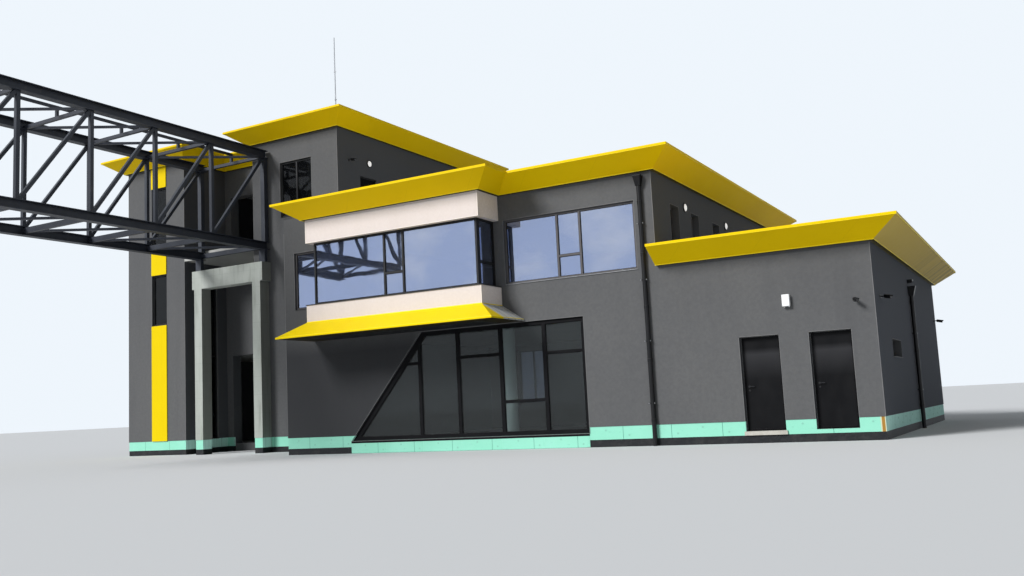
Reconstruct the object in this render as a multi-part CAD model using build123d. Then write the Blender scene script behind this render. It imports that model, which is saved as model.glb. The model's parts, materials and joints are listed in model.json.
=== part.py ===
from build123d import *
import os

# Railway station building with a flared metal parapet on each roof, a two-storey hall with a
# glazed bay, a single-storey annex on the right, a three-storey tower on the left, and the
# steel footbridge that leaves the tower over the tracks.
# Millimetres, +X along the front towards the annex, +Y into the building, +Z up.
# The origin is the middle of the hall at ground level.

# Plan of the building
BUILDING_DEPTH = 11760
HALL_LENGTH = 11996
ANNEX_LENGTH = 4953
TOWER_LENGTH = 10101
TOWER_SETBACK = 2170
WALL = 400

# Heights above the ground
GROUND_FLOOR_LEVEL = 270
FIRST_FLOOR_LEVEL = 3770
SECOND_FLOOR_LEVEL = 7130
FLOOR_THICKNESS = 250
ROOF_THICKNESS = 220
ANNEX_EAVES = 4344
HALL_EAVES = 6740
TOWER_EAVES = 10554

# Flared parapet: a folded metal wedge round the top of the walls
FLARE_OUT = 700
FLARE_RISE = 446
FLARE_START = 110
FLARE_LIP = 45

# Plinth: a bitumen sheet at the ground and a strip of foam boards above it
PLINTH_DEPTH = 60
PLINTH_RECESS = 10
MEMBRANE_TOP = 180
PLINTH_TOP = 500

# Window frames and panes
FRAME_WIDTH = 55
FRAME_DEPTH = 90
FRAME_SETBACK = 60
SIDE_SETBACK = 180
PANE_THICKNESS = 28
GLAZING_BAR = 100
GLAZING_CROSSBAR = 60
GLAZING_SLANT_BAR = 150

# Doors of the annex
DOOR_WIDTH = 920
DOOR_HEIGHT = 2165
DOOR_SETBACK = 150
DOOR_LEFT_EDGES = (1893, 3483)
SILL_REACH = 30
DOOR_JAMB = 45
DOOR_JAMB_DEPTH = 90
DOOR_GAP = 5
DOOR_SILL_GAP = 8
LEAF_THICKNESS = 50
KNUCKLE_RADIUS = 9
KNUCKLE_HEIGHT = 45
KNUCKLE_GAP = 0.3
KNUCKLE_STANDOFF = 1
STRAP_THICKNESS = 3
STRAP_LENGTH = 38
HINGE_HEIGHTS = (220, 1030, 1840)
HANDLE_HEIGHT = 1020
HANDLE_INSET = 70
HANDLE_REACH = 55
LEVER_LENGTH = 125
LEVER_THICKNESS = 18
ROSETTE_RADIUS = 26
ROSETTE_THICKNESS = 8

# Windows of the annex
STRIP_START = 2000
STRIP_LENGTH = 1400
STRIP_SILL = 1830
STRIP_HEAD = 2240
ANNEX_BACK_WINDOW_LENGTH = 3350

# Windows of the hall, with places along the front measured from the hall's right corner
MAIN_WINDOW_LEFT = 4247
MAIN_WINDOW_RIGHT = 497
MAIN_WINDOW_SILL = 4320
MAIN_WINDOW_DROP = 690
MAIN_WINDOW_HEAD = HALL_EAVES - MAIN_WINDOW_DROP
MAIN_MULLIONS = (1560, 2210)
MAIN_TRANSOM_RISE = 590
CORNER_WINDOW_RIGHT = 10420
SIDE_WINDOW_STARTS = (1260, 2890, 4770)
SIDE_WINDOW_LENGTH = 640
SIDE_WINDOW_SILL = 4950
SIDE_WINDOW_DROP = 650
SIDE_WINDOW_HEAD = HALL_EAVES - SIDE_WINDOW_DROP
BACK_WINDOW_LENGTH = 1280
BACK_WINDOW_SILL = 1170

# Ground-storey glazing with its slanted left edge
GLAZING_SILL = 350
GLAZING_HEAD = 3290
GLAZING_RIGHT = 2057
GLAZING_FOOT = 9577
GLAZING_SHOULDER = 7047
GLAZING_MULLIONS = (3237, 4547, 5897, 7167)
GLAZING_TRANSOMS = (2440, 1240, 2500, None, 2430)

# Round columns behind the glass, with places measured from the hall's right corner
COLUMN_RADIUS = 190
COLUMN_START = 1000
GROUND_COLUMN_FROM_CORNER = 4828
UPPER_COLUMN_FROM_CORNER = 11018

# Bay
BAY_LEFT = 10225
BAY_RIGHT = 4391
BAY_PROJECTION = 1040
BAY_WALL = 280
BAY_SILL = 4270
BAY_BAND_DROP = 680
BAY_HEAD = HALL_EAVES - BAY_BAND_DROP
BAY_MULLIONS = (2658, 3288)
BAY_TRANSOM_RISE = 640
BAY_SETBACK = 165

# Canopy below the bay
CANOPY_OUT = 639
CANOPY_DROP = 458
CANOPY_LIP = 40
SOFFIT_THICKNESS = 40

# Tower, with places along the front measured from the tower's right corner
RECESS_RIGHT = 3751
RECESS_LEFT = 7141
RECESS_DEPTH = 2000
TOWER_WINDOW_LEFT = 2501
TOWER_WINDOW_RIGHT = 1121
TOWER_WINDOW_SILL = 7840
TOWER_WINDOW_DROP = 824
TOWER_WINDOW_HEAD = TOWER_EAVES - TOWER_WINDOW_DROP
BAND_LEFT = 8841
BAND_RIGHT = 8061
BAND_THICKNESS = 30
BAND_WINDOW_DROP = 774
BAND_WINDOWS = ((4660, 6530), (7600, TOWER_EAVES - BAND_WINDOW_DROP))
ENTRANCE_HEAD = 3500
ENTRANCE_SIDE = 300
PASSAGE_DROP = 1054
PASSAGE_HEAD = TOWER_EAVES - PASSAGE_DROP
TALL_WINDOW_START = 880
TALL_WINDOW_LENGTH = 650
TALL_WINDOW_HEAD = 6300
ROOF_DOOR_START = 1180
ROOF_DOOR_WIDTH = 900
ROOF_DOOR_HEIGHT = 2150

# Concrete portal that carries the bridge
PORTAL_LEFT = 6301
PORTAL_RIGHT = 3001
PORTAL_DEPTH = 420
PORTAL_BEAM_FOOT = 5720
PORTAL_BEAM_TOP = 6360
PORTAL_COLUMN = 360
PORTAL_COLUMN_INSET = 100

# Footbridge: two lattice sides between rolled chords
BRIDGE_RIGHT_SIDE = 3101
BRIDGE_WIDTH = 3010
BRIDGE_BAYS = 6
BRIDGE_FIRST_PANEL = 2360
BRIDGE_PANEL = 2220
BRIDGE_END_GAP = 60
CHORD_DEPTH = 270
CHORD_WIDTH = 260
CHORD_FLANGE = 22
CHORD_WEB = 16
BOTTOM_CHORD_FOOT = 6780
TOP_CHORD_TOP = 10230
END_POST_SIZE = 165
POST_SIZE = 110
DIAGONAL_SIZE = 100
TOP_BEAM_DEPTH = 100
FLOOR_BEAM_DEPTH = 160
CROSS_BEAM_WIDTH = 100
BRACE_SIZE = 70
STUB_SIZE = 80
STUB_RISE = 240
RIDGE_SIZE = 80
BEARING_LENGTH = 260

# Rainwater pipes, lamps, cameras, the wall box and the lightning rod
PIPE_RADIUS = 55
PIPE_CLEARANCE = 15
HOPPER_WIDTH = 200
HOPPER_OUTLET = 120
HOPPER_HEIGHT = 265
FRONT_PIPE_FROM_CORNER = 307
FRONT_HOPPER_TOP = 6630
SIDE_PIPE_START = 5760
SIDE_HOPPER_TOP = 3790
PIPE_CLIP_HEIGHTS = (1000, 2500)
LAMP_RADIUS = 130
LAMP_THICKNESS = 60
HALL_LAMP_STARTS = (2400, 6030)
HALL_LAMP_DROP = 580
TOWER_LAMP_START = 3860
TOWER_LAMP_DROP = 944
CAMERA_LENGTH = 170
CAMERA_RADIUS = 38
CAMERA_ARM = 90
CAMERA_TILT = 12
CAMERA_BASE_RADIUS = 50
CAMERA_BASE_THICKNESS = 15
FRONT_CAMERA_FROM_CORNER = 410
FRONT_CAMERA_HEIGHT = 3070
SIDE_CAMERA_STARTS = (810, 11300)
SIDE_CAMERA_HEIGHT = 3150
TOWER_CAMERA_START = 2780
TOWER_CAMERA_DROP = 1014
BOX_FROM_CORNER = 1980
BOX_WIDTH = 170
BOX_DEPTH = 110
BOX_FOOT = 3030
BOX_HEIGHT = 290
ROD_FROM_CORNER = 900
ROD_START = 1100
ROD_RADIUS = 20
ROD_HEIGHT = 3300
ROD_FOOT_SIZE = 300
ROD_FOOT_THICKNESS = 80

# Lines that follow from the sizes above
FRONT = -BUILDING_DEPTH / 2
BACK = BUILDING_DEPTH / 2
HALL_RIGHT = HALL_LENGTH / 2
HALL_LEFT = -HALL_LENGTH / 2
ANNEX_RIGHT = HALL_RIGHT + ANNEX_LENGTH
TOWER_RIGHT = HALL_LEFT + WALL
TOWER_LEFT = TOWER_RIGHT - TOWER_LENGTH
TOWER_FRONT = FRONT + TOWER_SETBACK
RECESS_BACK = TOWER_FRONT + RECESS_DEPTH
RECESS_X = (TOWER_RIGHT - RECESS_LEFT, TOWER_RIGHT - RECESS_RIGHT)
BAY_X = (HALL_RIGHT - BAY_LEFT, HALL_RIGHT - BAY_RIGHT)
BAY_FRONT = FRONT - BAY_PROJECTION


def block(x_range, y_range, z_range):
    """Rectangular solid between three pairs of coordinates."""
    size = [abs(b - a) for a, b in (x_range, y_range, z_range)]
    middle = [(a + b) / 2 for a, b in (x_range, y_range, z_range)]
    return Pos(*middle) * Box(*size)


def save(name, *solids):
    """Write one or more solids of a sub-part to its own file."""
    shape = solids[0] if len(solids) == 1 else Compound(children=list(solids))
    export_step(shape, f"parts/{name}.step")


def prism(outline, z_range):
    """Upright solid on a plan outline."""
    low, high = z_range
    face = make_face(Polyline(*outline, close=True))
    return Pos(0, 0, low) * extrude(face, high - low)


def swept_round(route, profile, z):
    """Sweep a profile of (outward, up) points along a plan route, with mitred corners.

    The route runs with the building on its left hand, and outward is to its right."""
    start, ahead = Vector(*route[0], z), Vector(*route[1], z)
    along = (ahead - start).normalized()
    outward = along.cross(Vector(0, 0, 1))
    plane = Plane(origin=start, x_dir=outward, z_dir=-along)
    if plane.y_dir.Z < 0:
        plane = Plane(origin=start, x_dir=outward, z_dir=along)
    section = plane * make_face(Polyline(*profile, close=True))
    path = Polyline(*[(x, y, z) for x, y in route])
    return sweep(section, path=path, transition=Transition.RIGHT)


def flare_profile():
    """Section of the parapet: a wedge beside the wall and a cap over the wall's top."""
    return [
        (0, 0),
        (FLARE_START, 0),
        (FLARE_OUT, FLARE_RISE - FLARE_LIP),
        (FLARE_OUT, FLARE_RISE),
        (-WALL, FLARE_RISE),
        (-WALL, FLARE_RISE - FLARE_LIP),
        (0, FLARE_RISE - FLARE_LIP),
    ]


def wall_top(eaves):
    """Height of the masonry below the parapet's cap."""
    return eaves + FLARE_RISE - FLARE_LIP


def window(
    x_range, z_range, y_outer, mullions=(), transoms=None, bar=FRAME_WIDTH, crossbar=FRAME_WIDTH, outline=None
):
    """Frame and panes of a window in a wall that faces -Y.

    mullions are centre lines along X; transoms maps a bay, counted from the left, to the
    height of its crossbar; outline is an extra shape that trims the whole window."""
    y_frame = (y_outer, y_outer + FRAME_DEPTH)
    y_pane = (y_outer + (FRAME_DEPTH - PANE_THICKNESS) / 2, y_outer + (FRAME_DEPTH + PANE_THICKNESS) / 2)
    edges = [x_range[0] + bar / 2, *sorted(mullions), x_range[1] - bar / 2]
    frame = block(x_range, y_frame, z_range)
    panes = []
    if outline:
        frame = frame & outline(0, y_frame)
    for bay, (left, right) in enumerate(zip(edges, edges[1:])):
        lows, highs = [z_range[0] + bar], [z_range[1] - bar]
        if transoms and transoms.get(bay):
            lows.append(transoms[bay] + crossbar / 2)
            highs.insert(0, transoms[bay] - crossbar / 2)
        for z_hole in zip(lows, highs):
            x_hole = (left + bar / 2, right - bar / 2)
            hole = block(x_hole, y_frame, z_hole)
            pane = block(x_hole, y_pane, z_hole)
            if outline:
                hole = hole & outline(bar, y_frame)
                pane = pane & outline(bar, y_pane)
            frame = frame - hole
            panes.extend(pane.solids())
    return frame, panes


def turned(shape, angle, x, y):
    """Turn a shape drawn for a front wall and set it on another wall."""
    return Pos(x, y, 0) * Rot(0, 0, angle) * shape


def turned_window(angle, x, y, start, length, z_range, mullions=(), transoms=None, setback=FRAME_SETBACK):
    """Window of a side or back wall, drawn along the wall from (x, y)."""
    frame, panes = window(
        (start, start + length), z_range, setback, [start + m for m in mullions], transoms
    )
    return turned(frame, angle, x, y), [turned(pane, angle, x, y) for pane in panes]


def rebate(x_range, y_range):
    """Space that the plinth takes out of a wall's foot."""
    return block(x_range, y_range, (0, PLINTH_TOP))


# Doorways of the annex, from the left: the X range of each
DOORWAYS = [(HALL_RIGHT + left, HALL_RIGHT + left + DOOR_WIDTH) for left in DOOR_LEFT_EDGES]
DOOR_Z = (GROUND_FLOOR_LEVEL, GROUND_FLOOR_LEVEL + DOOR_HEIGHT)
PLINTH_IN = PLINTH_DEPTH + PLINTH_RECESS


def plinth_strips(z_range):
    """Strip round the foot of the building, open at the tower's entrance, and rings round the
    portal's feet."""
    outer, inner = PLINTH_RECESS, PLINTH_IN
    front = (FRONT + outer, FRONT + inner)
    tower_front = (TOWER_FRONT + outer, TOWER_FRONT + inner)
    recess = (RECESS_BACK + outer, RECESS_BACK + inner)
    strip = block((HALL_LEFT + outer, ANNEX_RIGHT - outer), front, z_range)
    right = block((ANNEX_RIGHT - inner, ANNEX_RIGHT - outer), (FRONT + outer, BACK - outer), z_range)
    back = block((TOWER_LEFT + outer, ANNEX_RIGHT - outer), (BACK - inner, BACK - outer), z_range)
    left = block((TOWER_LEFT + outer, TOWER_LEFT + inner), (TOWER_FRONT + outer, BACK - outer), z_range)
    left_front = block((TOWER_LEFT + outer, RECESS_X[0] - outer), tower_front, z_range)
    left_return = block(
        (RECESS_X[0] - inner, RECESS_X[0] - outer), (TOWER_FRONT + outer, RECESS_BACK + inner), z_range
    )
    right_return = block(
        (RECESS_X[1] + outer, RECESS_X[1] + inner), (TOWER_FRONT + outer, RECESS_BACK + inner), z_range
    )
    right_front = block((RECESS_X[1] + outer, HALL_LEFT + inner), tower_front, z_range)
    hall_left = block((HALL_LEFT + outer, HALL_LEFT + inner), (FRONT + outer, TOWER_FRONT + inner), z_range)
    recess_left = block(
        (RECESS_X[0] - inner, RECESS_X[0] + ENTRANCE_SIDE), recess, z_range
    )
    recess_right = block(
        (RECESS_X[1] - ENTRANCE_SIDE, RECESS_X[1] + inner), recess, z_range
    )
    strip = strip + hall_left + right_front + right_return + recess_right
    strip = strip + right + back + left + left_front + left_return + recess_left
    rings = [
        block(*shrunk(column, PLINTH_RECESS), z_range) - block(*shrunk(column, PLINTH_IN), z_range)
        for column in portal_column_ranges()
    ]
    return [strip, *rings]


def annex():
    """Single-storey annex with two outside doors."""
    top = wall_top(ANNEX_EAVES)
    left, right = HALL_RIGHT, ANNEX_RIGHT
    lintel_foot = DOOR_Z[1]
    front_y = (FRONT, FRONT + WALL)
    foot_cut = rebate((left - WALL, right), (FRONT, FRONT + PLINTH_IN))
    side_cut = rebate((right - PLINTH_IN, right), (FRONT, BACK))
    back_cut = rebate((left - WALL, right), (BACK - PLINTH_IN, BACK))

    edges = [left, *DOORWAYS[0], *DOORWAYS[1], right - WALL]
    piers = [
        block((edges[i], edges[i + 1]), front_y, (0, lintel_foot)) - foot_cut for i in (0, 2, 4)
    ]
    save("annex_front_piers", *piers)
    save("annex_front_lintel", block((left, right - WALL), front_y, (lintel_foot, top)))

    strip = (FRONT + STRIP_START, FRONT + STRIP_START + STRIP_LENGTH)
    side = block((right - WALL, right), (FRONT, BACK), (0, top)) - side_cut - foot_cut - back_cut
    side -= block((right - WALL, right), strip, (STRIP_SILL, STRIP_HEAD))
    save("annex_side_wall", side)

    back = block((left, right - WALL), (BACK - WALL, BACK), (0, top)) - back_cut
    window_length = ANNEX_BACK_WINDOW_LENGTH
    start = (ANNEX_LENGTH - WALL - window_length) / 2 + WALL
    back_range = (right - start - window_length, right - start)
    back -= block(back_range, (BACK - WALL, BACK), (STRIP_SILL, STRIP_HEAD))
    save("annex_back_wall", back)

    route = [(left, FRONT), (right, FRONT), (right, BACK), (left, BACK)]
    save("annex_parapet", swept_round(route, flare_profile(), ANNEX_EAVES))

    side_frame, side_panes = turned_window(
        90, right, FRONT, STRIP_START, STRIP_LENGTH, (STRIP_SILL, STRIP_HEAD), setback=SIDE_SETBACK
    )
    back_frame, back_panes = turned_window(
        180, right, BACK, start, window_length, (STRIP_SILL, STRIP_HEAD), [window_length / 2]
    )
    save("annex_window_frames", side_frame, back_frame)
    save("annex_window_panes", *side_panes, *back_panes)


def hinge_knuckle(z, upper, side):
    """Half of a lift-off hinge on the axis at X = 0, with a strap to one side."""
    y = -KNUCKLE_STANDOFF - KNUCKLE_RADIUS
    foot = z + KNUCKLE_GAP if upper else z - KNUCKLE_HEIGHT
    height = KNUCKLE_HEIGHT
    barrel = Pos(0, y, foot) * Cylinder(
        KNUCKLE_RADIUS, height, align=(Align.CENTER, Align.CENTER, Align.MIN)
    )
    strap = block((0, side * STRAP_LENGTH), (-STRAP_THICKNESS, 0), (foot, foot + height))
    return barrel + strap


def door_handle(front_y, back_y, x, z):
    """Lever and rosette on each face of a leaf; the lever points to the hinge side."""
    solids = []
    for face_y, side in ((front_y, -1), (back_y, 1)):
        rosette = Pos(x, face_y + side * ROSETTE_THICKNESS / 2, z) * Rot(90, 0, 0) * Cylinder(
            ROSETTE_RADIUS, ROSETTE_THICKNESS
        )
        neck = Pos(x, face_y + side * HANDLE_REACH / 2, z) * Rot(90, 0, 0) * Cylinder(
            LEVER_THICKNESS / 2, HANDLE_REACH
        )
        lever_y = (face_y + side * (HANDLE_REACH - LEVER_THICKNESS), face_y + side * HANDLE_REACH)
        lever = block(
            (x - LEVER_THICKNESS / 2, x + LEVER_LENGTH),
            lever_y,
            (z - LEVER_THICKNESS / 2, z + LEVER_THICKNESS / 2),
        )
        solids.append(rosette + neck + lever)
    return solids


def doors():
    """Two steel doors that open outwards on hinges at their right edges."""
    face_y = FRONT + DOOR_SETBACK
    frames = []
    for name, (left, right) in zip(("left", "right"), DOORWAYS):
        leaf_x = (left + DOOR_JAMB + DOOR_GAP, right - DOOR_JAMB - DOOR_GAP)
        leaf_z = (DOOR_Z[0] + DOOR_SILL_GAP, DOOR_Z[1] - DOOR_JAMB - DOOR_GAP)
        frame = block((left, right), (face_y, face_y + DOOR_JAMB_DEPTH), DOOR_Z)
        frame -= block(
            (left + DOOR_JAMB, right - DOOR_JAMB),
            (face_y, face_y + DOOR_JAMB_DEPTH),
            (DOOR_Z[0], DOOR_Z[1] - DOOR_JAMB),
        )
        leaf = block(leaf_x, (face_y, face_y + LEAF_THICKNESS), leaf_z)
        axis_x = leaf_x[1] + DOOR_GAP / 2
        for height in HINGE_HEIGHTS:
            z = DOOR_Z[0] + height
            frame += Pos(axis_x, face_y, 0) * hinge_knuckle(z, False, 1)
            leaf += Pos(axis_x, face_y, 0) * hinge_knuckle(z, True, -1)
        frames.append(frame)
        save(f"{name}_door_leaf", leaf)
        handle_x = leaf_x[0] + HANDLE_INSET
        save(
            f"{name}_door_handle",
            *door_handle(face_y, face_y + LEAF_THICKNESS, handle_x, DOOR_Z[0] + HANDLE_HEIGHT),
        )
    save("door_frames", *frames)


def glazing_outline(inset, y_range):
    """Ground-storey glazing, right of its slanted left edge, drawn in by a bar's width."""
    foot = HALL_RIGHT - GLAZING_FOOT
    shoulder = HALL_RIGHT - GLAZING_SHOULDER
    run, rise = shoulder - foot, GLAZING_HEAD - GLAZING_SILL
    slant = (run**2 + rise**2) ** 0.5
    shift = GLAZING_SLANT_BAR * slant / rise if inset else 0
    low, high = GLAZING_SILL + inset, GLAZING_HEAD - inset
    right = HALL_RIGHT - GLAZING_RIGHT - inset

    def edge(z):
        return foot + run * (z - GLAZING_SILL) / rise + shift

    outline = Polyline((edge(low), low), (right, low), (right, high), (edge(high), high), close=True)
    face = Plane.XZ * make_face(outline)
    depth = y_range[1] - y_range[0]
    return Pos(0, y_range[0], 0) * extrude(face, -depth)


def hall():
    """Two-storey hall with its front, side and back walls, floors and roof."""
    top = wall_top(HALL_EAVES)
    left, right = HALL_LEFT, HALL_RIGHT
    front_y, back_y = (FRONT, FRONT + WALL), (BACK - WALL, BACK)
    foot_cut = rebate((left, right), (FRONT, FRONT + PLINTH_IN))
    left_cut = rebate((left, left + PLINTH_IN), (FRONT, TOWER_FRONT + PLINTH_IN))
    back_cut = rebate((TOWER_LEFT, ANNEX_RIGHT), (BACK - PLINTH_IN, BACK))
    split = FIRST_FLOOR_LEVEL

    lower = block((left + WALL, right - WALL), front_y, (0, split)) - foot_cut
    lower -= glazing_outline(0, front_y)
    save("hall_front_wall_lower", lower)

    main_x = (right - MAIN_WINDOW_LEFT, right - MAIN_WINDOW_RIGHT)
    corner_x = (left + WALL, right - CORNER_WINDOW_RIGHT)
    window_z = (MAIN_WINDOW_SILL, MAIN_WINDOW_HEAD)
    bay_x = (BAY_X[0] + BAY_WALL, BAY_X[1] - BAY_WALL)
    upper = block((left + WALL, right - WALL), front_y, (split, top))
    upper -= block(main_x, front_y, window_z)
    upper -= block(corner_x, front_y, window_z)
    upper -= block(bay_x, front_y, (split, top))
    save("hall_front_wall_upper", upper)

    side = block((right - WALL, right), (FRONT, BACK), (0, top)) - foot_cut - back_cut
    for start in SIDE_WINDOW_STARTS:
        y_range = (FRONT + start, FRONT + start + SIDE_WINDOW_LENGTH)
        side -= block((right - WALL, right), y_range, (SIDE_WINDOW_SILL, SIDE_WINDOW_HEAD))
    save("hall_side_wall", side)

    end = block((left, left + WALL), (FRONT, TOWER_FRONT), (0, top)) - foot_cut - left_cut
    save("hall_end_wall", end)

    back_windows = back_window_ranges(left + WALL, right - WALL, 3)
    back = block((left + WALL, right - WALL), back_y, (0, top)) - back_cut
    frames, panes = [], []
    for sill, head in ((BACK_WINDOW_SILL, GLAZING_HEAD), window_z):
        for x_range in back_windows:
            back -= block(x_range, back_y, (sill, head))
            length = x_range[1] - x_range[0]
            frame, glass = turned_window(
                180, x_range[1], BACK, 0, length, (sill, head), [length / 2]
            )
            frames.append(frame)
            panes.extend(glass)
    save("hall_back_wall", back)

    frame, glass = window(
        main_x,
        window_z,
        FRONT + FRAME_SETBACK,
        [right - MAIN_WINDOW_LEFT + m for m in MAIN_MULLIONS],
        {1: MAIN_WINDOW_SILL + MAIN_TRANSOM_RISE},
    )
    corner_frame, corner_glass = window(corner_x, window_z, FRONT + FRAME_SETBACK)
    frames += [frame, corner_frame]
    panes += [*glass, *corner_glass]
    side_z = (SIDE_WINDOW_SILL, SIDE_WINDOW_HEAD)
    for start in SIDE_WINDOW_STARTS:
        side_frame, glass = turned_window(
            90, right, FRONT, start, SIDE_WINDOW_LENGTH, side_z, setback=SIDE_SETBACK
        )
        frames.append(side_frame)
        panes.extend(glass)
    save("hall_window_frames", *frames)
    save("hall_window_panes", *panes)

    mullions = [right - m for m in GLAZING_MULLIONS]
    count = len(GLAZING_TRANSOMS)
    transoms = {count - 1 - i: z for i, z in enumerate(GLAZING_TRANSOMS)}
    glazing_x = (right - GLAZING_FOOT, right - GLAZING_RIGHT)
    frame, panes = window(
        glazing_x,
        (GLAZING_SILL, GLAZING_HEAD),
        FRONT + FRAME_SETBACK,
        mullions,
        transoms,
        GLAZING_BAR,
        GLAZING_CROSSBAR,
        glazing_outline,
    )
    save("hall_glazing_frame", frame)
    save("hall_glazing_panes", *panes)


def back_window_ranges(left, right, count):
    """Even row of back windows between two lines."""
    pitch = (right - left) / count
    length = BACK_WINDOW_LENGTH
    middles = [left + pitch * (i + 0.5) for i in range(count)]
    return [(middle - length / 2, middle + length / 2) for middle in middles]


def bay():
    """Glazed bay between two pale bands, with a canopy below it."""
    left, right = BAY_X
    outer_y = (BAY_FRONT, FRONT)
    inner_x = (left + BAY_WALL, right - BAY_WALL)
    inner_y = (BAY_FRONT + BAY_WALL, FRONT)
    lower = block(BAY_X, outer_y, (FIRST_FLOOR_LEVEL, BAY_SILL))
    lower -= block(inner_x, inner_y, (FIRST_FLOOR_LEVEL, BAY_SILL))
    upper = block(BAY_X, outer_y, (BAY_HEAD, wall_top(HALL_EAVES)))
    upper -= block(inner_x, inner_y, (BAY_HEAD, wall_top(HALL_EAVES)))
    save("bay_bands", lower, upper)

    inset = BAY_SETBACK
    frame_x = (left + inset, right - inset)
    frame_z = (BAY_SILL, BAY_HEAD)
    frame, panes = window(
        frame_x,
        frame_z,
        BAY_FRONT + inset,
        [left + m for m in BAY_MULLIONS],
        {1: BAY_SILL + BAY_TRANSOM_RISE},
    )
    side_length = BAY_PROJECTION - inset - FRAME_DEPTH
    for angle, x, y in ((90, right - inset, BAY_FRONT + inset + FRAME_DEPTH), (-90, left + inset, FRONT)):
        side_frame, glass = window(
            (0, side_length), frame_z, 0, (), {0: BAY_SILL + BAY_TRANSOM_RISE}
        )
        frame += turned(side_frame, angle, x, y)
        panes.extend(turned(pane, angle, x, y) for pane in glass)
    save("bay_window_frame", frame)
    save("bay_window_panes", *panes)

    route = [(left, FRONT), (left, BAY_FRONT), (right, BAY_FRONT), (right, FRONT)]
    foot = FIRST_FLOOR_LEVEL - CANOPY_DROP
    profile = [(0, 0), (CANOPY_OUT, 0), (CANOPY_OUT, CANOPY_LIP), (0, CANOPY_DROP)]
    save("bay_canopy", swept_round(route, profile, foot))
    save("bay_soffit", block(BAY_X, outer_y, (foot, foot + SOFFIT_THICKNESS)))

    route = [
        (left, FRONT),
        (left, BAY_FRONT),
        (right, BAY_FRONT),
        (right, FRONT),
        (HALL_RIGHT, FRONT),
        (HALL_RIGHT, BACK),
        (TOWER_RIGHT, BACK),
    ]
    cap_z = (wall_top(HALL_EAVES), HALL_EAVES + FLARE_RISE)
    corner_cap = block((HALL_LEFT, left + BAY_WALL), (FRONT, FRONT + WALL), cap_z)
    corner_cap += block((HALL_LEFT, HALL_LEFT + WALL), (FRONT, TOWER_FRONT), cap_z)
    save("hall_parapet", swept_round(route, flare_profile(), HALL_EAVES) + corner_cap)


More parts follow.
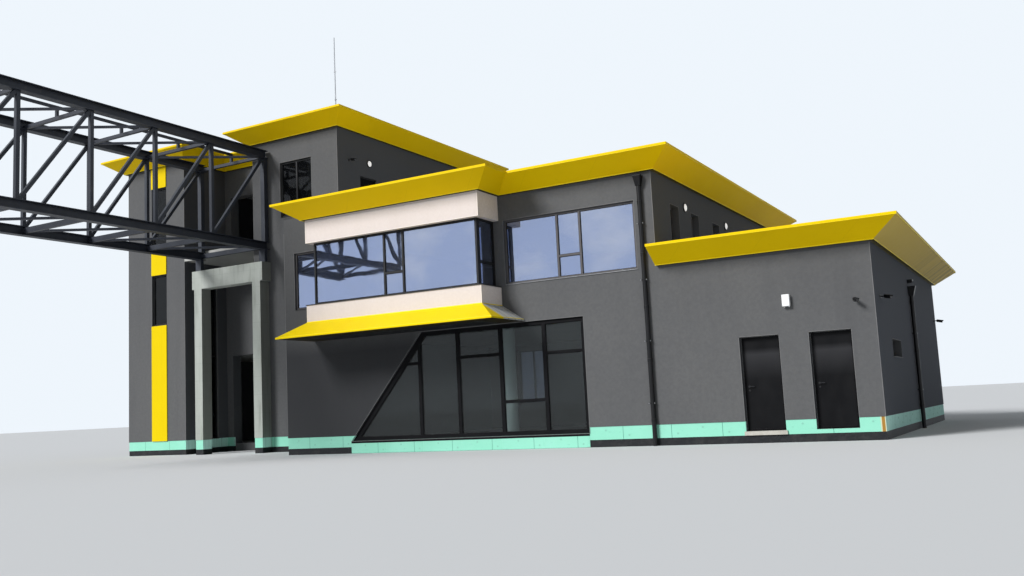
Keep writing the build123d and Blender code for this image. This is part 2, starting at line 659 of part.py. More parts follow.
def tower():
    """Three-storey tower with a deep recess where the bridge arrives."""
    top = wall_top(TOWER_EAVES)
    left, right = TOWER_LEFT, TOWER_RIGHT
    recess_left, recess_right = RECESS_X
    front_y = (TOWER_FRONT, TOWER_FRONT + WALL)
    back_y = (BACK - WALL, BACK)
    cut_front = rebate((left, HALL_LEFT + PLINTH_IN), (TOWER_FRONT, TOWER_FRONT + PLINTH_IN))
    cut_left = rebate((left, left + PLINTH_IN), (TOWER_FRONT, BACK))
    cut_back = rebate((left, ANNEX_RIGHT), (BACK - PLINTH_IN, BACK))
    return_y = (TOWER_FRONT, RECESS_BACK + PLINTH_IN)
    cut_left_return = rebate((recess_left - PLINTH_IN, recess_left), return_y)
    cut_right_return = rebate((recess_right, recess_right + PLINTH_IN), return_y)
    recess_foot = (RECESS_BACK, RECESS_BACK + PLINTH_IN)
    cut_recess = rebate((recess_left - PLINTH_IN, recess_right + PLINTH_IN), recess_foot)

    side = block((right - WALL, right), (TOWER_FRONT, BACK), (0, top)) - cut_front - cut_back
    roof_level = HALL_EAVES + ROOF_THICKNESS
    door_y = (TOWER_FRONT + ROOF_DOOR_START, TOWER_FRONT + ROOF_DOOR_START + ROOF_DOOR_WIDTH)
    door_z = (roof_level, roof_level + ROOF_DOOR_HEIGHT)
    side -= block((right - WALL, right), door_y, door_z)
    save("tower_right_wall", side)
    door_x = (right - FRAME_SETBACK - LEAF_THICKNESS, right - FRAME_SETBACK)
    save("tower_roof_door", block(door_x, door_y, door_z))

    window_x = (right - TOWER_WINDOW_LEFT, right - TOWER_WINDOW_RIGHT)
    window_z = (TOWER_WINDOW_SILL, TOWER_WINDOW_HEAD)
    front_right = block((recess_right, right - WALL), front_y, (0, top))
    front_right = front_right - cut_front - cut_right_return - block(window_x, front_y, window_z)
    save("tower_front_wall_right", front_right)
    frame, panes = window(window_x, window_z, TOWER_FRONT + FRAME_SETBACK, [sum(window_x) / 2])
    window_frames, window_panes = [frame], [*panes]

    band_x = (right - BAND_LEFT, right - BAND_RIGHT)
    front_left = block((left, recess_left), front_y, (0, top))
    front_left = front_left - cut_front - cut_left - cut_left_return
    band_y = (TOWER_FRONT - BAND_THICKNESS, TOWER_FRONT)
    band = block(band_x, band_y, (PLINTH_TOP, TOWER_EAVES))
    for z_range in BAND_WINDOWS:
        front_left -= block(band_x, front_y, z_range)
        band -= block(band_x, band_y, z_range)
        frame, panes = window(band_x, z_range, TOWER_FRONT + FRAME_SETBACK)
        window_frames.append(frame)
        window_panes.extend(panes)
    save("tower_front_wall_left", front_left)
    save("tower_yellow_band", *band.solids())

    return_range = (TOWER_FRONT + WALL, RECESS_BACK + WALL)
    left_return = block((recess_left - WALL, recess_left), return_range, (0, top))
    right_return = block((recess_right, recess_right + WALL), return_range, (0, top))
    left_return = left_return - cut_left_return - cut_recess
    tall_y = (TOWER_FRONT + TALL_WINDOW_START, TOWER_FRONT + TALL_WINDOW_START + TALL_WINDOW_LENGTH)
    tall_z = (PLINTH_TOP, TALL_WINDOW_HEAD)
    left_return -= block((recess_left - WALL, recess_left), tall_y, tall_z)
    frame, panes = turned_window(
        90, recess_left, TOWER_FRONT, TALL_WINDOW_START, TALL_WINDOW_LENGTH, tall_z, (), {0: ENTRANCE_HEAD}
    )
    window_frames.append(frame)
    window_panes.extend(panes)
    right_return = right_return - cut_right_return - cut_recess
    save("tower_recess_returns", left_return, right_return)

    recess_y = (RECESS_BACK, RECESS_BACK + WALL)
    entrance_x = (recess_left + ENTRANCE_SIDE, recess_right - ENTRANCE_SIDE)
    recess = block((recess_left, recess_right), recess_y, (0, top)) - cut_recess
    recess -= block(entrance_x, recess_y, (GROUND_FLOOR_LEVEL, ENTRANCE_HEAD))
    recess -= block(entrance_x, recess_y, (SECOND_FLOOR_LEVEL, PASSAGE_HEAD))
    save("tower_recess_wall", recess)

    left_wall = block((left, left + WALL), (TOWER_FRONT + WALL, BACK), (0, top))
    save("tower_left_wall", left_wall - cut_left - cut_back)

    back = block((left + WALL, right - WALL), back_y, (0, top)) - cut_back
    storeys = (
        (BACK_WINDOW_SILL, GLAZING_HEAD),
        (MAIN_WINDOW_SILL, MAIN_WINDOW_HEAD),
        (TOWER_WINDOW_SILL, TOWER_WINDOW_HEAD),
    )
    for sill, head in storeys:
        for x_range in back_window_ranges(left + WALL, right - WALL, 3):
            back -= block(x_range, back_y, (sill, head))
            length = x_range[1] - x_range[0]
            frame, panes = turned_window(180, x_range[1], BACK, 0, length, (sill, head), [length / 2])
            window_frames.append(frame)
            window_panes.extend(panes)
    save("tower_back_wall", back)
    save("tower_window_frames", *window_frames)
    save("tower_window_panes", *window_panes)

    middle = (left + right) / 2
    corners = [
        (left, TOWER_FRONT),
        (recess_left, TOWER_FRONT),
        (recess_left, RECESS_BACK),
        (recess_right, RECESS_BACK),
        (recess_right, TOWER_FRONT),
        (right, TOWER_FRONT),
    ]
    first = swept_round([(middle, BACK), (left, BACK), *corners[:2]], flare_profile(), TOWER_EAVES)
    second = swept_round(
        [corners[0], *corners[1:], (right, BACK), (middle, BACK)], flare_profile(), TOWER_EAVES
    )
    save("tower_parapet", first + second)


def tower_room():
    """Plan of the tower's inside, which goes round the recess."""
    left, right = TOWER_LEFT + WALL, TOWER_RIGHT - WALL
    return [
        (left, TOWER_FRONT + WALL),
        (RECESS_X[0] - WALL, TOWER_FRONT + WALL),
        (RECESS_X[0] - WALL, RECESS_BACK + WALL),
        (RECESS_X[1] + WALL, RECESS_BACK + WALL),
        (RECESS_X[1] + WALL, TOWER_FRONT + WALL),
        (right, TOWER_FRONT + WALL),
        (right, BACK - WALL),
        (left, BACK - WALL),
    ]


def columns():
    """Round columns that show through the glazing, one on each floor of the hall."""
    ground_z = (GROUND_FLOOR_LEVEL, FIRST_FLOOR_LEVEL - FLOOR_THICKNESS)
    upper_z = (FIRST_FLOOR_LEVEL, HALL_EAVES)
    shafts = []
    for from_corner, (foot, head) in (
        (GROUND_COLUMN_FROM_CORNER, ground_z),
        (UPPER_COLUMN_FROM_CORNER, upper_z),
    ):
        shaft = Cylinder(COLUMN_RADIUS, head - foot, align=(Align.CENTER, Align.CENTER, Align.MIN))
        shafts.append(Pos(HALL_RIGHT - from_corner, FRONT + COLUMN_START, foot) * shaft)
    save("hall_columns", *shafts)


def plinth():
    """Bitumen sheet and foam boards at the foot of the walls, and the stone sill of the left door.

    The glazing and the doors cut into the boards, which run on below the right door."""
    save("plinth_membrane", *plinth_strips((0, MEMBRANE_TOP)))
    wall_y = (FRONT, FRONT + WALL)
    openings = glazing_outline(0, wall_y)
    openings += block(DOORWAYS[0], wall_y, (MEMBRANE_TOP, PLINTH_TOP))
    openings += block(DOORWAYS[1], wall_y, (GROUND_FLOOR_LEVEL, PLINTH_TOP))
    boards = []
    for strip in plinth_strips((MEMBRANE_TOP, PLINTH_TOP)):
        boards.extend((strip - openings).solids())
    save("plinth_insulation", *boards)

    left, right = DOORWAYS[0]
    sill_z = (MEMBRANE_TOP, GROUND_FLOOR_LEVEL)
    sill = block((left, right), (FRONT - SILL_REACH, FRONT + PLINTH_IN), sill_z)
    nose_x = (left - SILL_REACH, right + SILL_REACH)
    sill += block(nose_x, (FRONT - SILL_REACH, FRONT + PLINTH_RECESS), sill_z)
    save("left_door_sill", sill)


def slabs():
    """Ground floors, upper floors and roofs, each between the walls of its room."""
    annex_x = (HALL_RIGHT, ANNEX_RIGHT - WALL)
    hall_x = (HALL_LEFT + WALL, HALL_RIGHT - WALL)
    bay_x = (BAY_X[0] + BAY_WALL, BAY_X[1] - BAY_WALL)
    inside_y = (FRONT + WALL, BACK - WALL)
    room = tower_room()

    ground_z = (0, GROUND_FLOOR_LEVEL)
    annex_ground = block(annex_x, inside_y, ground_z)
    for doorway in DOORWAYS:
        annex_ground += block(doorway, (FRONT + PLINTH_IN, FRONT + WALL), ground_z)
    save("ground_floors", annex_ground, block(hall_x, inside_y, ground_z), prism(room, ground_z))

    first_z = (FIRST_FLOOR_LEVEL - FLOOR_THICKNESS, FIRST_FLOOR_LEVEL)
    second_z = (SECOND_FLOOR_LEVEL - FLOOR_THICKNESS, SECOND_FLOOR_LEVEL)
    hall_first = block(hall_x, inside_y, first_z) + block(BAY_X, (BAY_FRONT, FRONT), first_z)
    save("hall_first_floor", hall_first)
    landing = block(RECESS_X, (TOWER_FRONT, RECESS_BACK), second_z)
    save("tower_floors", prism(room, first_z), prism(room, second_z), landing)

    def roof_z(eaves):
        return eaves, eaves + ROOF_THICKNESS

    hall_roof = block(hall_x, inside_y, roof_z(HALL_EAVES))
    bay_roof = block(bay_x, (BAY_FRONT + BAY_WALL, FRONT + WALL), roof_z(HALL_EAVES))
    save("annex_roof", block(annex_x, inside_y, roof_z(ANNEX_EAVES)))
    save("hall_roof", hall_roof + bay_roof)
    save("tower_roof", prism(room, roof_z(TOWER_EAVES)))


def portal_column_ranges():
    """X and Y ranges of the portal's two columns."""
    left = TOWER_RIGHT - PORTAL_LEFT + PORTAL_COLUMN_INSET
    right = TOWER_RIGHT - PORTAL_RIGHT - PORTAL_COLUMN_INSET
    y_range = (TOWER_FRONT - PORTAL_DEPTH, TOWER_FRONT)
    return [((left, left + PORTAL_COLUMN), y_range), ((right - PORTAL_COLUMN, right), y_range)]


def shrunk(ranges, inset):
    """Pairs of coordinates drawn in by the same distance."""
    return [(low + inset, high - inset) for low, high in ranges]


def portal():
    """Concrete frame in front of the recess, under the end of the bridge."""
    left, right = TOWER_RIGHT - PORTAL_LEFT, TOWER_RIGHT - PORTAL_RIGHT
    y_range = (TOWER_FRONT - PORTAL_DEPTH, TOWER_FRONT)
    frame = block((left, right), y_range, (PORTAL_BEAM_FOOT, PORTAL_BEAM_TOP))
    for column in portal_column_ranges():
        frame += block(*column, (PLINTH_TOP, PORTAL_BEAM_FOOT))
        frame += block(*shrunk(column, PLINTH_IN), (0, PLINTH_TOP))
    save("bridge_portal", frame)


def chord_section():
    """Rolled H section of a chord, drawn about its foot."""
    half, web = CHORD_WIDTH / 2, CHORD_WEB / 2
    low, high = CHORD_FLANGE, CHORD_DEPTH - CHORD_FLANGE
    right_side = [(half, 0), (half, low), (web, low), (web, high), (half, high), (half, CHORD_DEPTH)]
    left_side = [(-x, z) for x, z in reversed(right_side)]
    return make_face(Polyline(*right_side, *left_side, close=True))


def bar_between(start, end, size):
    """Square bar through two points, longer than their distance so that it can be trimmed."""
    start, end = Vector(*start), Vector(*end)
    along = (end - start).normalized()
    side = Vector(1, 0, 0) if abs(along.X) < 0.9 else Vector(0, 0, 1)
    across = side - along * side.dot(along)
    plane = Plane(origin=start - along * size, x_dir=across, z_dir=along)
    return extrude(plane * Rectangle(size, size), (end - start).length + 2 * size)


def lateral_bracing(inner_x, stations, z, beam_depth):
    """Cross beams at the stations, and in each bay one brace from corner to corner."""
    half = CROSS_BEAM_WIDTH / 2
    beam_z = (z - beam_depth / 2, z + beam_depth / 2)
    space = block(inner_x, (stations[-1] - half, stations[0] + half), beam_z)
    shape = block(inner_x, (stations[0] - half, stations[0] + half), beam_z)
    for near, far in zip(stations, stations[1:]):
        shape += block(inner_x, (far - half, far + half), beam_z)
        shape += bar_between((inner_x[0], far, z), (inner_x[1], near, z), BRACE_SIZE) & space
    return shape


def bridge():
    """Lattice footbridge cut off after whole bays, with its free end towards the tracks."""
    right_x = TOWER_RIGHT - BRIDGE_RIGHT_SIDE
    left_x = right_x - BRIDGE_WIDTH
    near_y = TOWER_FRONT - BRIDGE_END_GAP
    first = near_y - END_POST_SIZE / 2
    stations = [first, *[first - BRIDGE_FIRST_PANEL - i * BRIDGE_PANEL for i in range(BRIDGE_BAYS)]]
    length = near_y - stations[-1] + POST_SIZE / 2
    post_sizes = [END_POST_SIZE, *[POST_SIZE] * BRIDGE_BAYS]
    bottom_top = BOTTOM_CHORD_FOOT + CHORD_DEPTH
    top_foot = TOP_CHORD_TOP - CHORD_DEPTH
    between_z = (bottom_top, top_foot)

    for name, x in (("right", right_x), ("left", left_x)):
        chord = extrude(Plane.XZ * chord_section(), length)
        side = Pos(x, near_y, BOTTOM_CHORD_FOOT) * chord + Pos(x, near_y, top_foot) * chord
        for y, size in zip(stations, post_sizes):
            half = size / 2
            side += block((x - half, x + half), (y - half, y + half), between_z)
        half = DIAGONAL_SIZE / 2
        for near, far, near_size in zip(stations, stations[1:], post_sizes):
            head = (x, near - near_size / 2, top_foot)
            foot = (x, far + POST_SIZE / 2, bottom_top)
            diagonal = bar_between(head, foot, DIAGONAL_SIZE)
            side += diagonal & block((x - half, x + half), (far, near), between_z)
        save(f"bridge_{name}_truss", side)

    inner_x = (left_x + CHORD_WEB / 2, right_x - CHORD_WEB / 2)
    floor_z = BOTTOM_CHORD_FOOT + CHORD_DEPTH / 2
    save("bridge_floor_bracing", lateral_bracing(inner_x, stations, floor_z, FLOOR_BEAM_DEPTH))
    top_z = top_foot + CHORD_FLANGE + TOP_BEAM_DEPTH / 2
    top = lateral_bracing(inner_x, stations, top_z, TOP_BEAM_DEPTH)
    middle_x, half = sum(inner_x) / 2, STUB_SIZE / 2
    beam_top = top_z + TOP_BEAM_DEPTH / 2
    ridge_foot = beam_top + STUB_RISE
    for y in stations:
        top += block((middle_x - half, middle_x + half), (y - half, y + half), (beam_top, ridge_foot))
    ridge_y = (stations[-1] - half, stations[0] + half)
    half = RIDGE_SIZE / 2
    top += block((middle_x - half, middle_x + half), ridge_y, (ridge_foot, ridge_foot + RIDGE_SIZE))
    save("bridge_top_bracing", top)

    bearing_z = (PORTAL_BEAM_TOP, BOTTOM_CHORD_FOOT)
    middle = TOWER_FRONT - PORTAL_DEPTH / 2 - BRIDGE_END_GAP / 2
    half = BEARING_LENGTH / 2
    bearings = [
        block((x - half, x + half), (middle - half / 2, middle + half / 2), bearing_z)
        for x in (left_x, right_x)
    ]
    save("bridge_bearings", *bearings)


def rainwater_pipe(top):
    """Round pipe with a tapered hopper head and wall clips, standing in front of a wall at Y = 0."""
    y = -PIPE_CLEARANCE - PIPE_RADIUS
    pipe = Pos(0, y, 0) * Cylinder(
        PIPE_RADIUS, top - HOPPER_HEIGHT, align=(Align.CENTER, Align.CENTER, Align.MIN)
    )
    mouth = Pos(0, -HOPPER_WIDTH / 2, top) * Rectangle(HOPPER_WIDTH, HOPPER_WIDTH)
    outlet = Pos(0, y, top - HOPPER_HEIGHT) * Rectangle(HOPPER_OUTLET, HOPPER_OUTLET)
    shape = pipe + loft([outlet.face(), mouth.face()])
    for height in PIPE_CLIP_HEIGHTS:
        shape += block((-PIPE_RADIUS, PIPE_RADIUS), (y, 0), (height, height + STRAP_LENGTH))
    return shape


def wall_camera():
    """Camera on a short arm, standing in front of a wall at Y = 0 and looking outwards."""
    base = Rot(90, 0, 0) * Cylinder(
        CAMERA_BASE_RADIUS, CAMERA_BASE_THICKNESS, align=(Align.CENTER, Align.CENTER, Align.MIN)
    )
    arm_radius = CAMERA_RADIUS / 2
    arm = Rot(90, 0, 0) * Cylinder(arm_radius, CAMERA_ARM, align=(Align.CENTER, Align.CENTER, Align.MIN))
    housing = Pos(0, -CAMERA_ARM, 0) * Rot(90 + CAMERA_TILT, 0, 0) * Cylinder(
        CAMERA_RADIUS, CAMERA_LENGTH, align=(Align.CENTER, Align.CENTER, Align.MIN)
    )
    return base + arm + housing


def fittings():
    """Rainwater pipes, round lamps, cameras, a wall box and the lightning rod."""
    front_pipe = Pos(HALL_RIGHT - FRONT_PIPE_FROM_CORNER, FRONT, 0) * rainwater_pipe(FRONT_HOPPER_TOP)
    side_pipe = turned(rainwater_pipe(SIDE_HOPPER_TOP), 90, ANNEX_RIGHT, FRONT + SIDE_PIPE_START)
    save("rainwater_pipes", front_pipe, side_pipe)

    disc = Rot(90, 0, 0) * Cylinder(LAMP_RADIUS, LAMP_THICKNESS)
    places = [(HALL_RIGHT, start, HALL_EAVES - HALL_LAMP_DROP) for start in HALL_LAMP_STARTS]
    places.append((TOWER_RIGHT, TOWER_LAMP_START, TOWER_EAVES - TOWER_LAMP_DROP))
    lamps = [turned(Pos(0, -LAMP_THICKNESS / 2, z) * disc, 90, x, FRONT + y) for x, y, z in places]
    save("wall_lamps", *lamps)

    places = [(ANNEX_RIGHT, start, SIDE_CAMERA_HEIGHT) for start in SIDE_CAMERA_STARTS]
    places.append((TOWER_RIGHT, TOWER_CAMERA_START, TOWER_EAVES - TOWER_CAMERA_DROP))
    cameras = [turned(Pos(0, 0, z) * wall_camera(), 90, x, FRONT + y) for x, y, z in places]
    front_camera_x = ANNEX_RIGHT - FRONT_CAMERA_FROM_CORNER
    save("security_cameras", Pos(front_camera_x, FRONT, FRONT_CAMERA_HEIGHT) * wall_camera(), *cameras)

    box_x = ANNEX_RIGHT - BOX_FROM_CORNER
    box_z = (BOX_FOOT, BOX_FOOT + BOX_HEIGHT)
    save("wall_box", block((box_x, box_x + BOX_WIDTH), (FRONT - BOX_DEPTH, FRONT), box_z))

    rod_x, rod_y = TOWER_RIGHT - ROD_FROM_CORNER, TOWER_FRONT + ROD_START
    base = TOWER_EAVES + ROOF_THICKNESS
    half = ROD_FOOT_SIZE / 2
    foot_z = (base, base + ROD_FOOT_THICKNESS)
    foot = block((rod_x - half, rod_x + half), (rod_y - half, rod_y + half), foot_z)
    mast = Pos(rod_x, rod_y, base + ROD_FOOT_THICKNESS) * Cylinder(
        ROD_RADIUS, ROD_HEIGHT, align=(Align.CENTER, Align.CENTER, Align.MIN)
    )
    save("lightning_rod", foot + mast)


os.makedirs("parts", exist_ok=True)
slabs()
plinth()
annex()
doors()
hall()
columns()
bay()
tower()
portal()
bridge()
fittings()
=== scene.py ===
"""Looks of a railway station building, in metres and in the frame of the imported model.

It places the camera, the light and the floor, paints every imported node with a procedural
material, and adds the trim and the small fittings that the solids leave out.
"""

import json
import math

import bmesh
import bpy
from mathutils import Matrix, Vector


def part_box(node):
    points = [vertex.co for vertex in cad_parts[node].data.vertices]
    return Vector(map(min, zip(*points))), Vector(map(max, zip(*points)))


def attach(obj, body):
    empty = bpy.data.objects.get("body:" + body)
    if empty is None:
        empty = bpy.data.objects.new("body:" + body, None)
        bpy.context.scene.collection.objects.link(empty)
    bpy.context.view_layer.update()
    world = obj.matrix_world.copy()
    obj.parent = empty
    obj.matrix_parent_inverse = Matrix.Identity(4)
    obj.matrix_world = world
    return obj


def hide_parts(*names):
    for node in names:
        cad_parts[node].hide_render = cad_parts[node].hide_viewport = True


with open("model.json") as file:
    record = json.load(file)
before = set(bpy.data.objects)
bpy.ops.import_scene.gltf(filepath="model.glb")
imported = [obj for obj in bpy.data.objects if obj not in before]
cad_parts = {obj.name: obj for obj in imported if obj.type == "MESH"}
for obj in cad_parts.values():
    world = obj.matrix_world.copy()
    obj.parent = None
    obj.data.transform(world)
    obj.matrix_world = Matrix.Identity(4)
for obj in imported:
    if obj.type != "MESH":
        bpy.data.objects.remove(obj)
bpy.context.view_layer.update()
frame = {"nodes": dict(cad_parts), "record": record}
nodes = frame["nodes"]

# Camera: where the photographer stood
CAMERA_PLACE = (14.299, -28.036, 1.097)
CAMERA_RIGHT = (0.86908, 0.49216, -0.04963)
CAMERA_UP = (0.10303, -0.08196, 0.99128)
CAMERA_FORWARD = (-0.48381, 0.86663, 0.12193)
CAMERA_LENS = 33.994
CAMERA_SENSOR = 36
CAMERA_REACH = 3000

# Light: an even pale sky, and one broad lamp from the upper left of the front
SKY = (0.86, 0.92, 0.98, 1)
SKY_BRIGHT_SIDE = (-0.62, -0.62, 0.48)
SKY_LOW, SKY_HIGH = 0.12, 0.42
LAMP_FROM = (-0.42, -0.74, 0.58)
LAMP_DISTANCE = 40
LAMP_STRENGTH = 3.8
LAMP_SPREAD = 20

# Floor: how far it goes on each side, and how far below the building it lies
FLOOR_REACH = 900
FLOOR_DROP = 0.002

# Plan and heights of the building
FRONT, BACK = -5.88, 5.88
HALL_LEFT, HALL_RIGHT = -5.998, 5.998
ANNEX_RIGHT = 10.951
TOWER_LEFT, TOWER_RIGHT = -15.699, -5.598
TOWER_FRONT, RECESS_BACK = -3.71, -1.71
RECESS_LEFT, RECESS_RIGHT = -12.739, -9.349
BAY_LEFT, BAY_RIGHT, BAY_FRONT = -4.227, 1.607, -6.92
EAVES = {"annex": 4.344, "hall": 6.74, "tower": 10.554}
ROOF_THICKNESS = 0.22
PLINTH_TOP = 0.5
BOARD_LENGTH = 1.25
BAY_SILL = 4.27

# Opening of the ground glazing, as (x, z) corners
GLAZING = ((-3.579, 0.35), (3.941, 0.35), (3.941, 3.29), (-1.049, 3.29))

# Plan lines with the building on their left: round the bay, and along each parapet
BAY_ROUTE = [(BAY_LEFT, FRONT), (BAY_LEFT, BAY_FRONT), (BAY_RIGHT, BAY_FRONT), (BAY_RIGHT, FRONT)]
PARAPET_ROUTES = {
    "annex": [(HALL_RIGHT, FRONT), (ANNEX_RIGHT, FRONT), (ANNEX_RIGHT, BACK), (HALL_RIGHT, BACK)],
    "hall": [*BAY_ROUTE, (HALL_RIGHT, FRONT), (HALL_RIGHT, BACK), (TOWER_RIGHT, BACK)],
    "tower": [
        (TOWER_LEFT, TOWER_FRONT), (RECESS_LEFT, TOWER_FRONT), (RECESS_LEFT, RECESS_BACK),
        (RECESS_RIGHT, RECESS_BACK), (RECESS_RIGHT, TOWER_FRONT), (TOWER_RIGHT, TOWER_FRONT),
        (TOWER_RIGHT, BACK), (TOWER_LEFT, BACK),
    ],
}
CLOSED_PARAPETS = ("tower",)


def add_object(name, data):
    made = bpy.data.objects.new(name, data)
    bpy.context.scene.collection.objects.link(made)
    return made


def add_camera():
    data = bpy.data.cameras.new("camera")
    data.sensor_width = CAMERA_SENSOR
    data.lens = CAMERA_LENS
    data.clip_end = CAMERA_REACH
    camera = add_object("camera", data)
    turn = Matrix((CAMERA_RIGHT, CAMERA_UP, [-v for v in CAMERA_FORWARD])).transposed()
    camera.matrix_world = Matrix.Translation(CAMERA_PLACE) @ turn.to_4x4()
    bpy.context.scene.camera = camera


def add_light():
    """A sky that is white where it shows, and brighter on one side where it lights."""
    world = bpy.data.worlds.new("sky")
    bpy.context.scene.world = world
    world.use_nodes = True
    sky = Tree(world.node_tree)
    path = sky.node("LightPath")
    seen = path["Is Camera Ray"]
    for name in ("Is Glossy Ray", "Is Transmission Ray"):
        seen = sky.math("MAXIMUM", seen, path[name])
    directions = {0: sky.node("TexCoord")["Generated"], 1: Vector(SKY_BRIGHT_SIDE).normalized()}
    toward = sky.node("VectorMath", directions, operation="DOT_PRODUCT")["Value"]
    lit = sky.ramp(toward, -1, 1, SKY_LOW, SKY_HIGH)
    background = world.node_tree.nodes["Background"].inputs
    sky.link(SKY, background["Color"])
    sky.link(sky.ramp(seen, 0, 1, lit, 1), background["Strength"])

    lamp = bpy.data.lights.new("lamp", "SUN")
    lamp.energy = LAMP_STRENGTH
    lamp.angle = math.radians(LAMP_SPREAD)
    holder = add_object("lamp", lamp)
    holder.rotation_euler = Vector(LAMP_FROM).to_track_quat("Z", "Y").to_euler()
    holder.location = Vector(LAMP_FROM) * LAMP_DISTANCE


def add_stage():
    look = Look("floor", "studio_floor", (0.62, 0.63, 0.64), 0.9, 0.05)
    mesh = bpy.data.meshes.new("floor")
    corners = [(x * FLOOR_REACH, y * FLOOR_REACH, 0) for x, y in ((-1, -1), (1, -1), (1, 1), (-1, 1))]
    mesh.from_pydata(corners, [], [(0, 1, 2, 3)])
    floor = add_object("floor", mesh)
    floor.location = (0, 0, -FLOOR_DROP)
    mesh.materials.append(look.material)


class Tree:
    """A node tree, and the nodes that the sky and the materials have in common."""

    def __init__(self, tree):
        self.tree = tree

    def link(self, source, target):
        """Feeds a socket from another one, or sets it to a plain value."""
        if hasattr(source, "links"):
            self.tree.links.new(source, target)
        else:
            target.default_value = source

    def node(self, kind, inputs=(), **settings):
        """Adds a node with these inputs and settings, and gives its outputs."""
        made = self.tree.nodes.new("ShaderNode" + kind)
        for name, value in settings.items():
            setattr(made, name, value)
        for name, source in dict(inputs).items():
            self.link(source, made.inputs[name])
        return made.outputs

    def math(self, operation, a, b=0.0):
        return self.node("Math", {0: a, 1: b}, operation=operation)[0]

    def ramp(self, value, low, high, to_low=0.0, to_high=1.0):
        """Runs from to_low to to_high as the value goes from low to high, and no further."""
        inputs = enumerate((value, low, high, to_low, to_high))
        return self.node("MapRange", inputs, clamp=True)["Result"]


looks = {}


class Look(Tree):
    """A material built from a few kinds of pattern in the model's own coordinates."""

    def __init__(self, key, name, colour, roughness, specular=0.5, metallic=0.0):
        looks[key] = self
        self.material = bpy.data.materials.new(name)
        self.material.use_nodes = True
        self.material.diffuse_color = (*colour, 1)
        super().__init__(self.material.node_tree)
        self.shader = self.tree.nodes["Principled BSDF"].inputs
        self.colour = (*colour, 1)
        self.normal = None
        self.place = self.node("TexCoord")["Object"]
        for socket, value in (
            ("Base Color", self.colour), ("Roughness", roughness),
            ("Specular IOR Level", specular), ("Metallic", metallic),
        ):
            self.shader[socket].default_value = value

    # Values and masks from 0 to 1; where high is less than low, a mask is 1 on the other side

    def noise(self, scale, detail, stretch=(1, 1, 1)):
        place = self.node("Mapping", {"Vector": self.place, "Scale": stretch})["Vector"]
        inputs = {"Vector": place, "Scale": scale, "Detail": detail, "Roughness": 0.55}
        return self.node("TexNoise", inputs)["Fac"]

    def cells(self, scale):
        return self.node("TexVoronoi", {"Vector": self.place, "Scale": scale})["Distance"]

    def both(self, mask, *others):
        """1 where every mask is 1."""
        for other in others:
            mask = self.math("MULTIPLY", mask, other)
        return mask

    def split(self, vector, name):
        return self.node("SeparateXYZ", {0: vector})[name]

    def axis(self, name):
        return self.split(self.place, name)

    def beyond(self, name, low, high):
        """1 beyond a place on an axis, with a soft edge from low to high."""
        return self.ramp(self.axis(name), low, high)

    def facing(self, name):
        return self.split(self.node("NewGeometry")["Normal"], name)

    def faces(self, name, low=0.5, high=0.9):
        """1 on surfaces that face along an axis."""
        return self.ramp(self.facing(name), low, high)

    def lines(self, value, pitch, half_width, start=0.0):
        """1 on a line at every pitch along value."""
        near = self.math("PINGPONG", self.math("SUBTRACT", value, start), pitch / 2)
        return self.ramp(near, half_width, half_width * 0.4)

    def joints(self, pitch, half_width, start):
        """1 at every pitch along a wall, whichever way the wall runs."""
        return self.lines(self.math("ADD", self.axis("X"), self.axis("Y")), pitch, half_width, start)

    # Steps that change the surface

    def tint(self, mask, colour, amount=1.0):
        """Mixes a colour in where the mask is 1."""
        if amount != 1.0:
            mask = self.both(mask, amount)
        inputs = {"Factor": mask, "A": self.colour, "B": (*colour, 1)}
        self.colour = self.node("Mix", inputs, data_type="RGBA")["Result"]
        self.link(self.colour, self.shader["Base Color"])

    def cloud(self, colour, amount, scale, detail, low, high, stretch=(1, 1, 1)):
        """Mixes a colour in where a noise rises from low to high."""
        self.tint(self.ramp(self.noise(scale, detail, stretch), low, high), colour, amount)

    def dots(self, colour, amount, scale, size):
        """Mixes a colour into a dot in each cell."""
        self.tint(self.ramp(self.cells(scale), size, 0), colour, amount)

    def gloss(self, value, low, high):
        """Lets the roughness follow a value."""
        self.link(self.ramp(value, 0, 1, low, high), self.shader["Roughness"])

    def bump(self, height, distance, strength=1.0):
        inputs = {"Height": height, "Distance": distance, "Strength": strength}
        if self.normal is not None:
            inputs["Normal"] = self.normal
        self.normal = self.node("Bump", inputs)["Normal"]
        self.link(self.normal, self.shader["Normal"])

    def grain(self, distance, strength, scale, detail, stretch=(1, 1, 1)):
        """Roughens the surface with a noise as high as distance."""
        self.bump(self.noise(scale, detail, stretch), distance, strength)


# Soft edges of the painted shade on the wall below the canopy, its darkest part's left end, and its top
SHADE_RIGHT, SHADE_LEFT, SHADE_TOP = (-0.9, -1.3), (-4.25, -4.7), (3.6, 2.9)


def render_look(key, name, colour, light, dark, side):
    """Mineral render with clouds, streaks, grain and specks; side is a tint on its right faces that paints their
    light: painted shade where darker, painted light where lighter.
    """
    look = Look(key, name, colour, 0.9, 0.25)
    look.cloud(light, 0.55, 0.35, 5, 0.38, 0.66, (1, 1, 0.6))
    look.cloud(dark, 0.35, 1.1, 6, 0.5, 0.78, (2.2, 2.2, 0.16))
    # Right faces take the side tint, which paints how lit they are
    look.tint(look.faces("X"), side, 0.7)
    look.cloud(dark, 0.3, 13, 4, 0.36, 0.66)
    look.cloud(dark, 0.22, 95, 3, 0.35, 0.62)
    look.dots(light, 0.35, 16, 0.14)
    look.grain(0.004, 0.5, 95, 3)
    look.grain(0.02, 0.18, 2.3, 3)
    return look


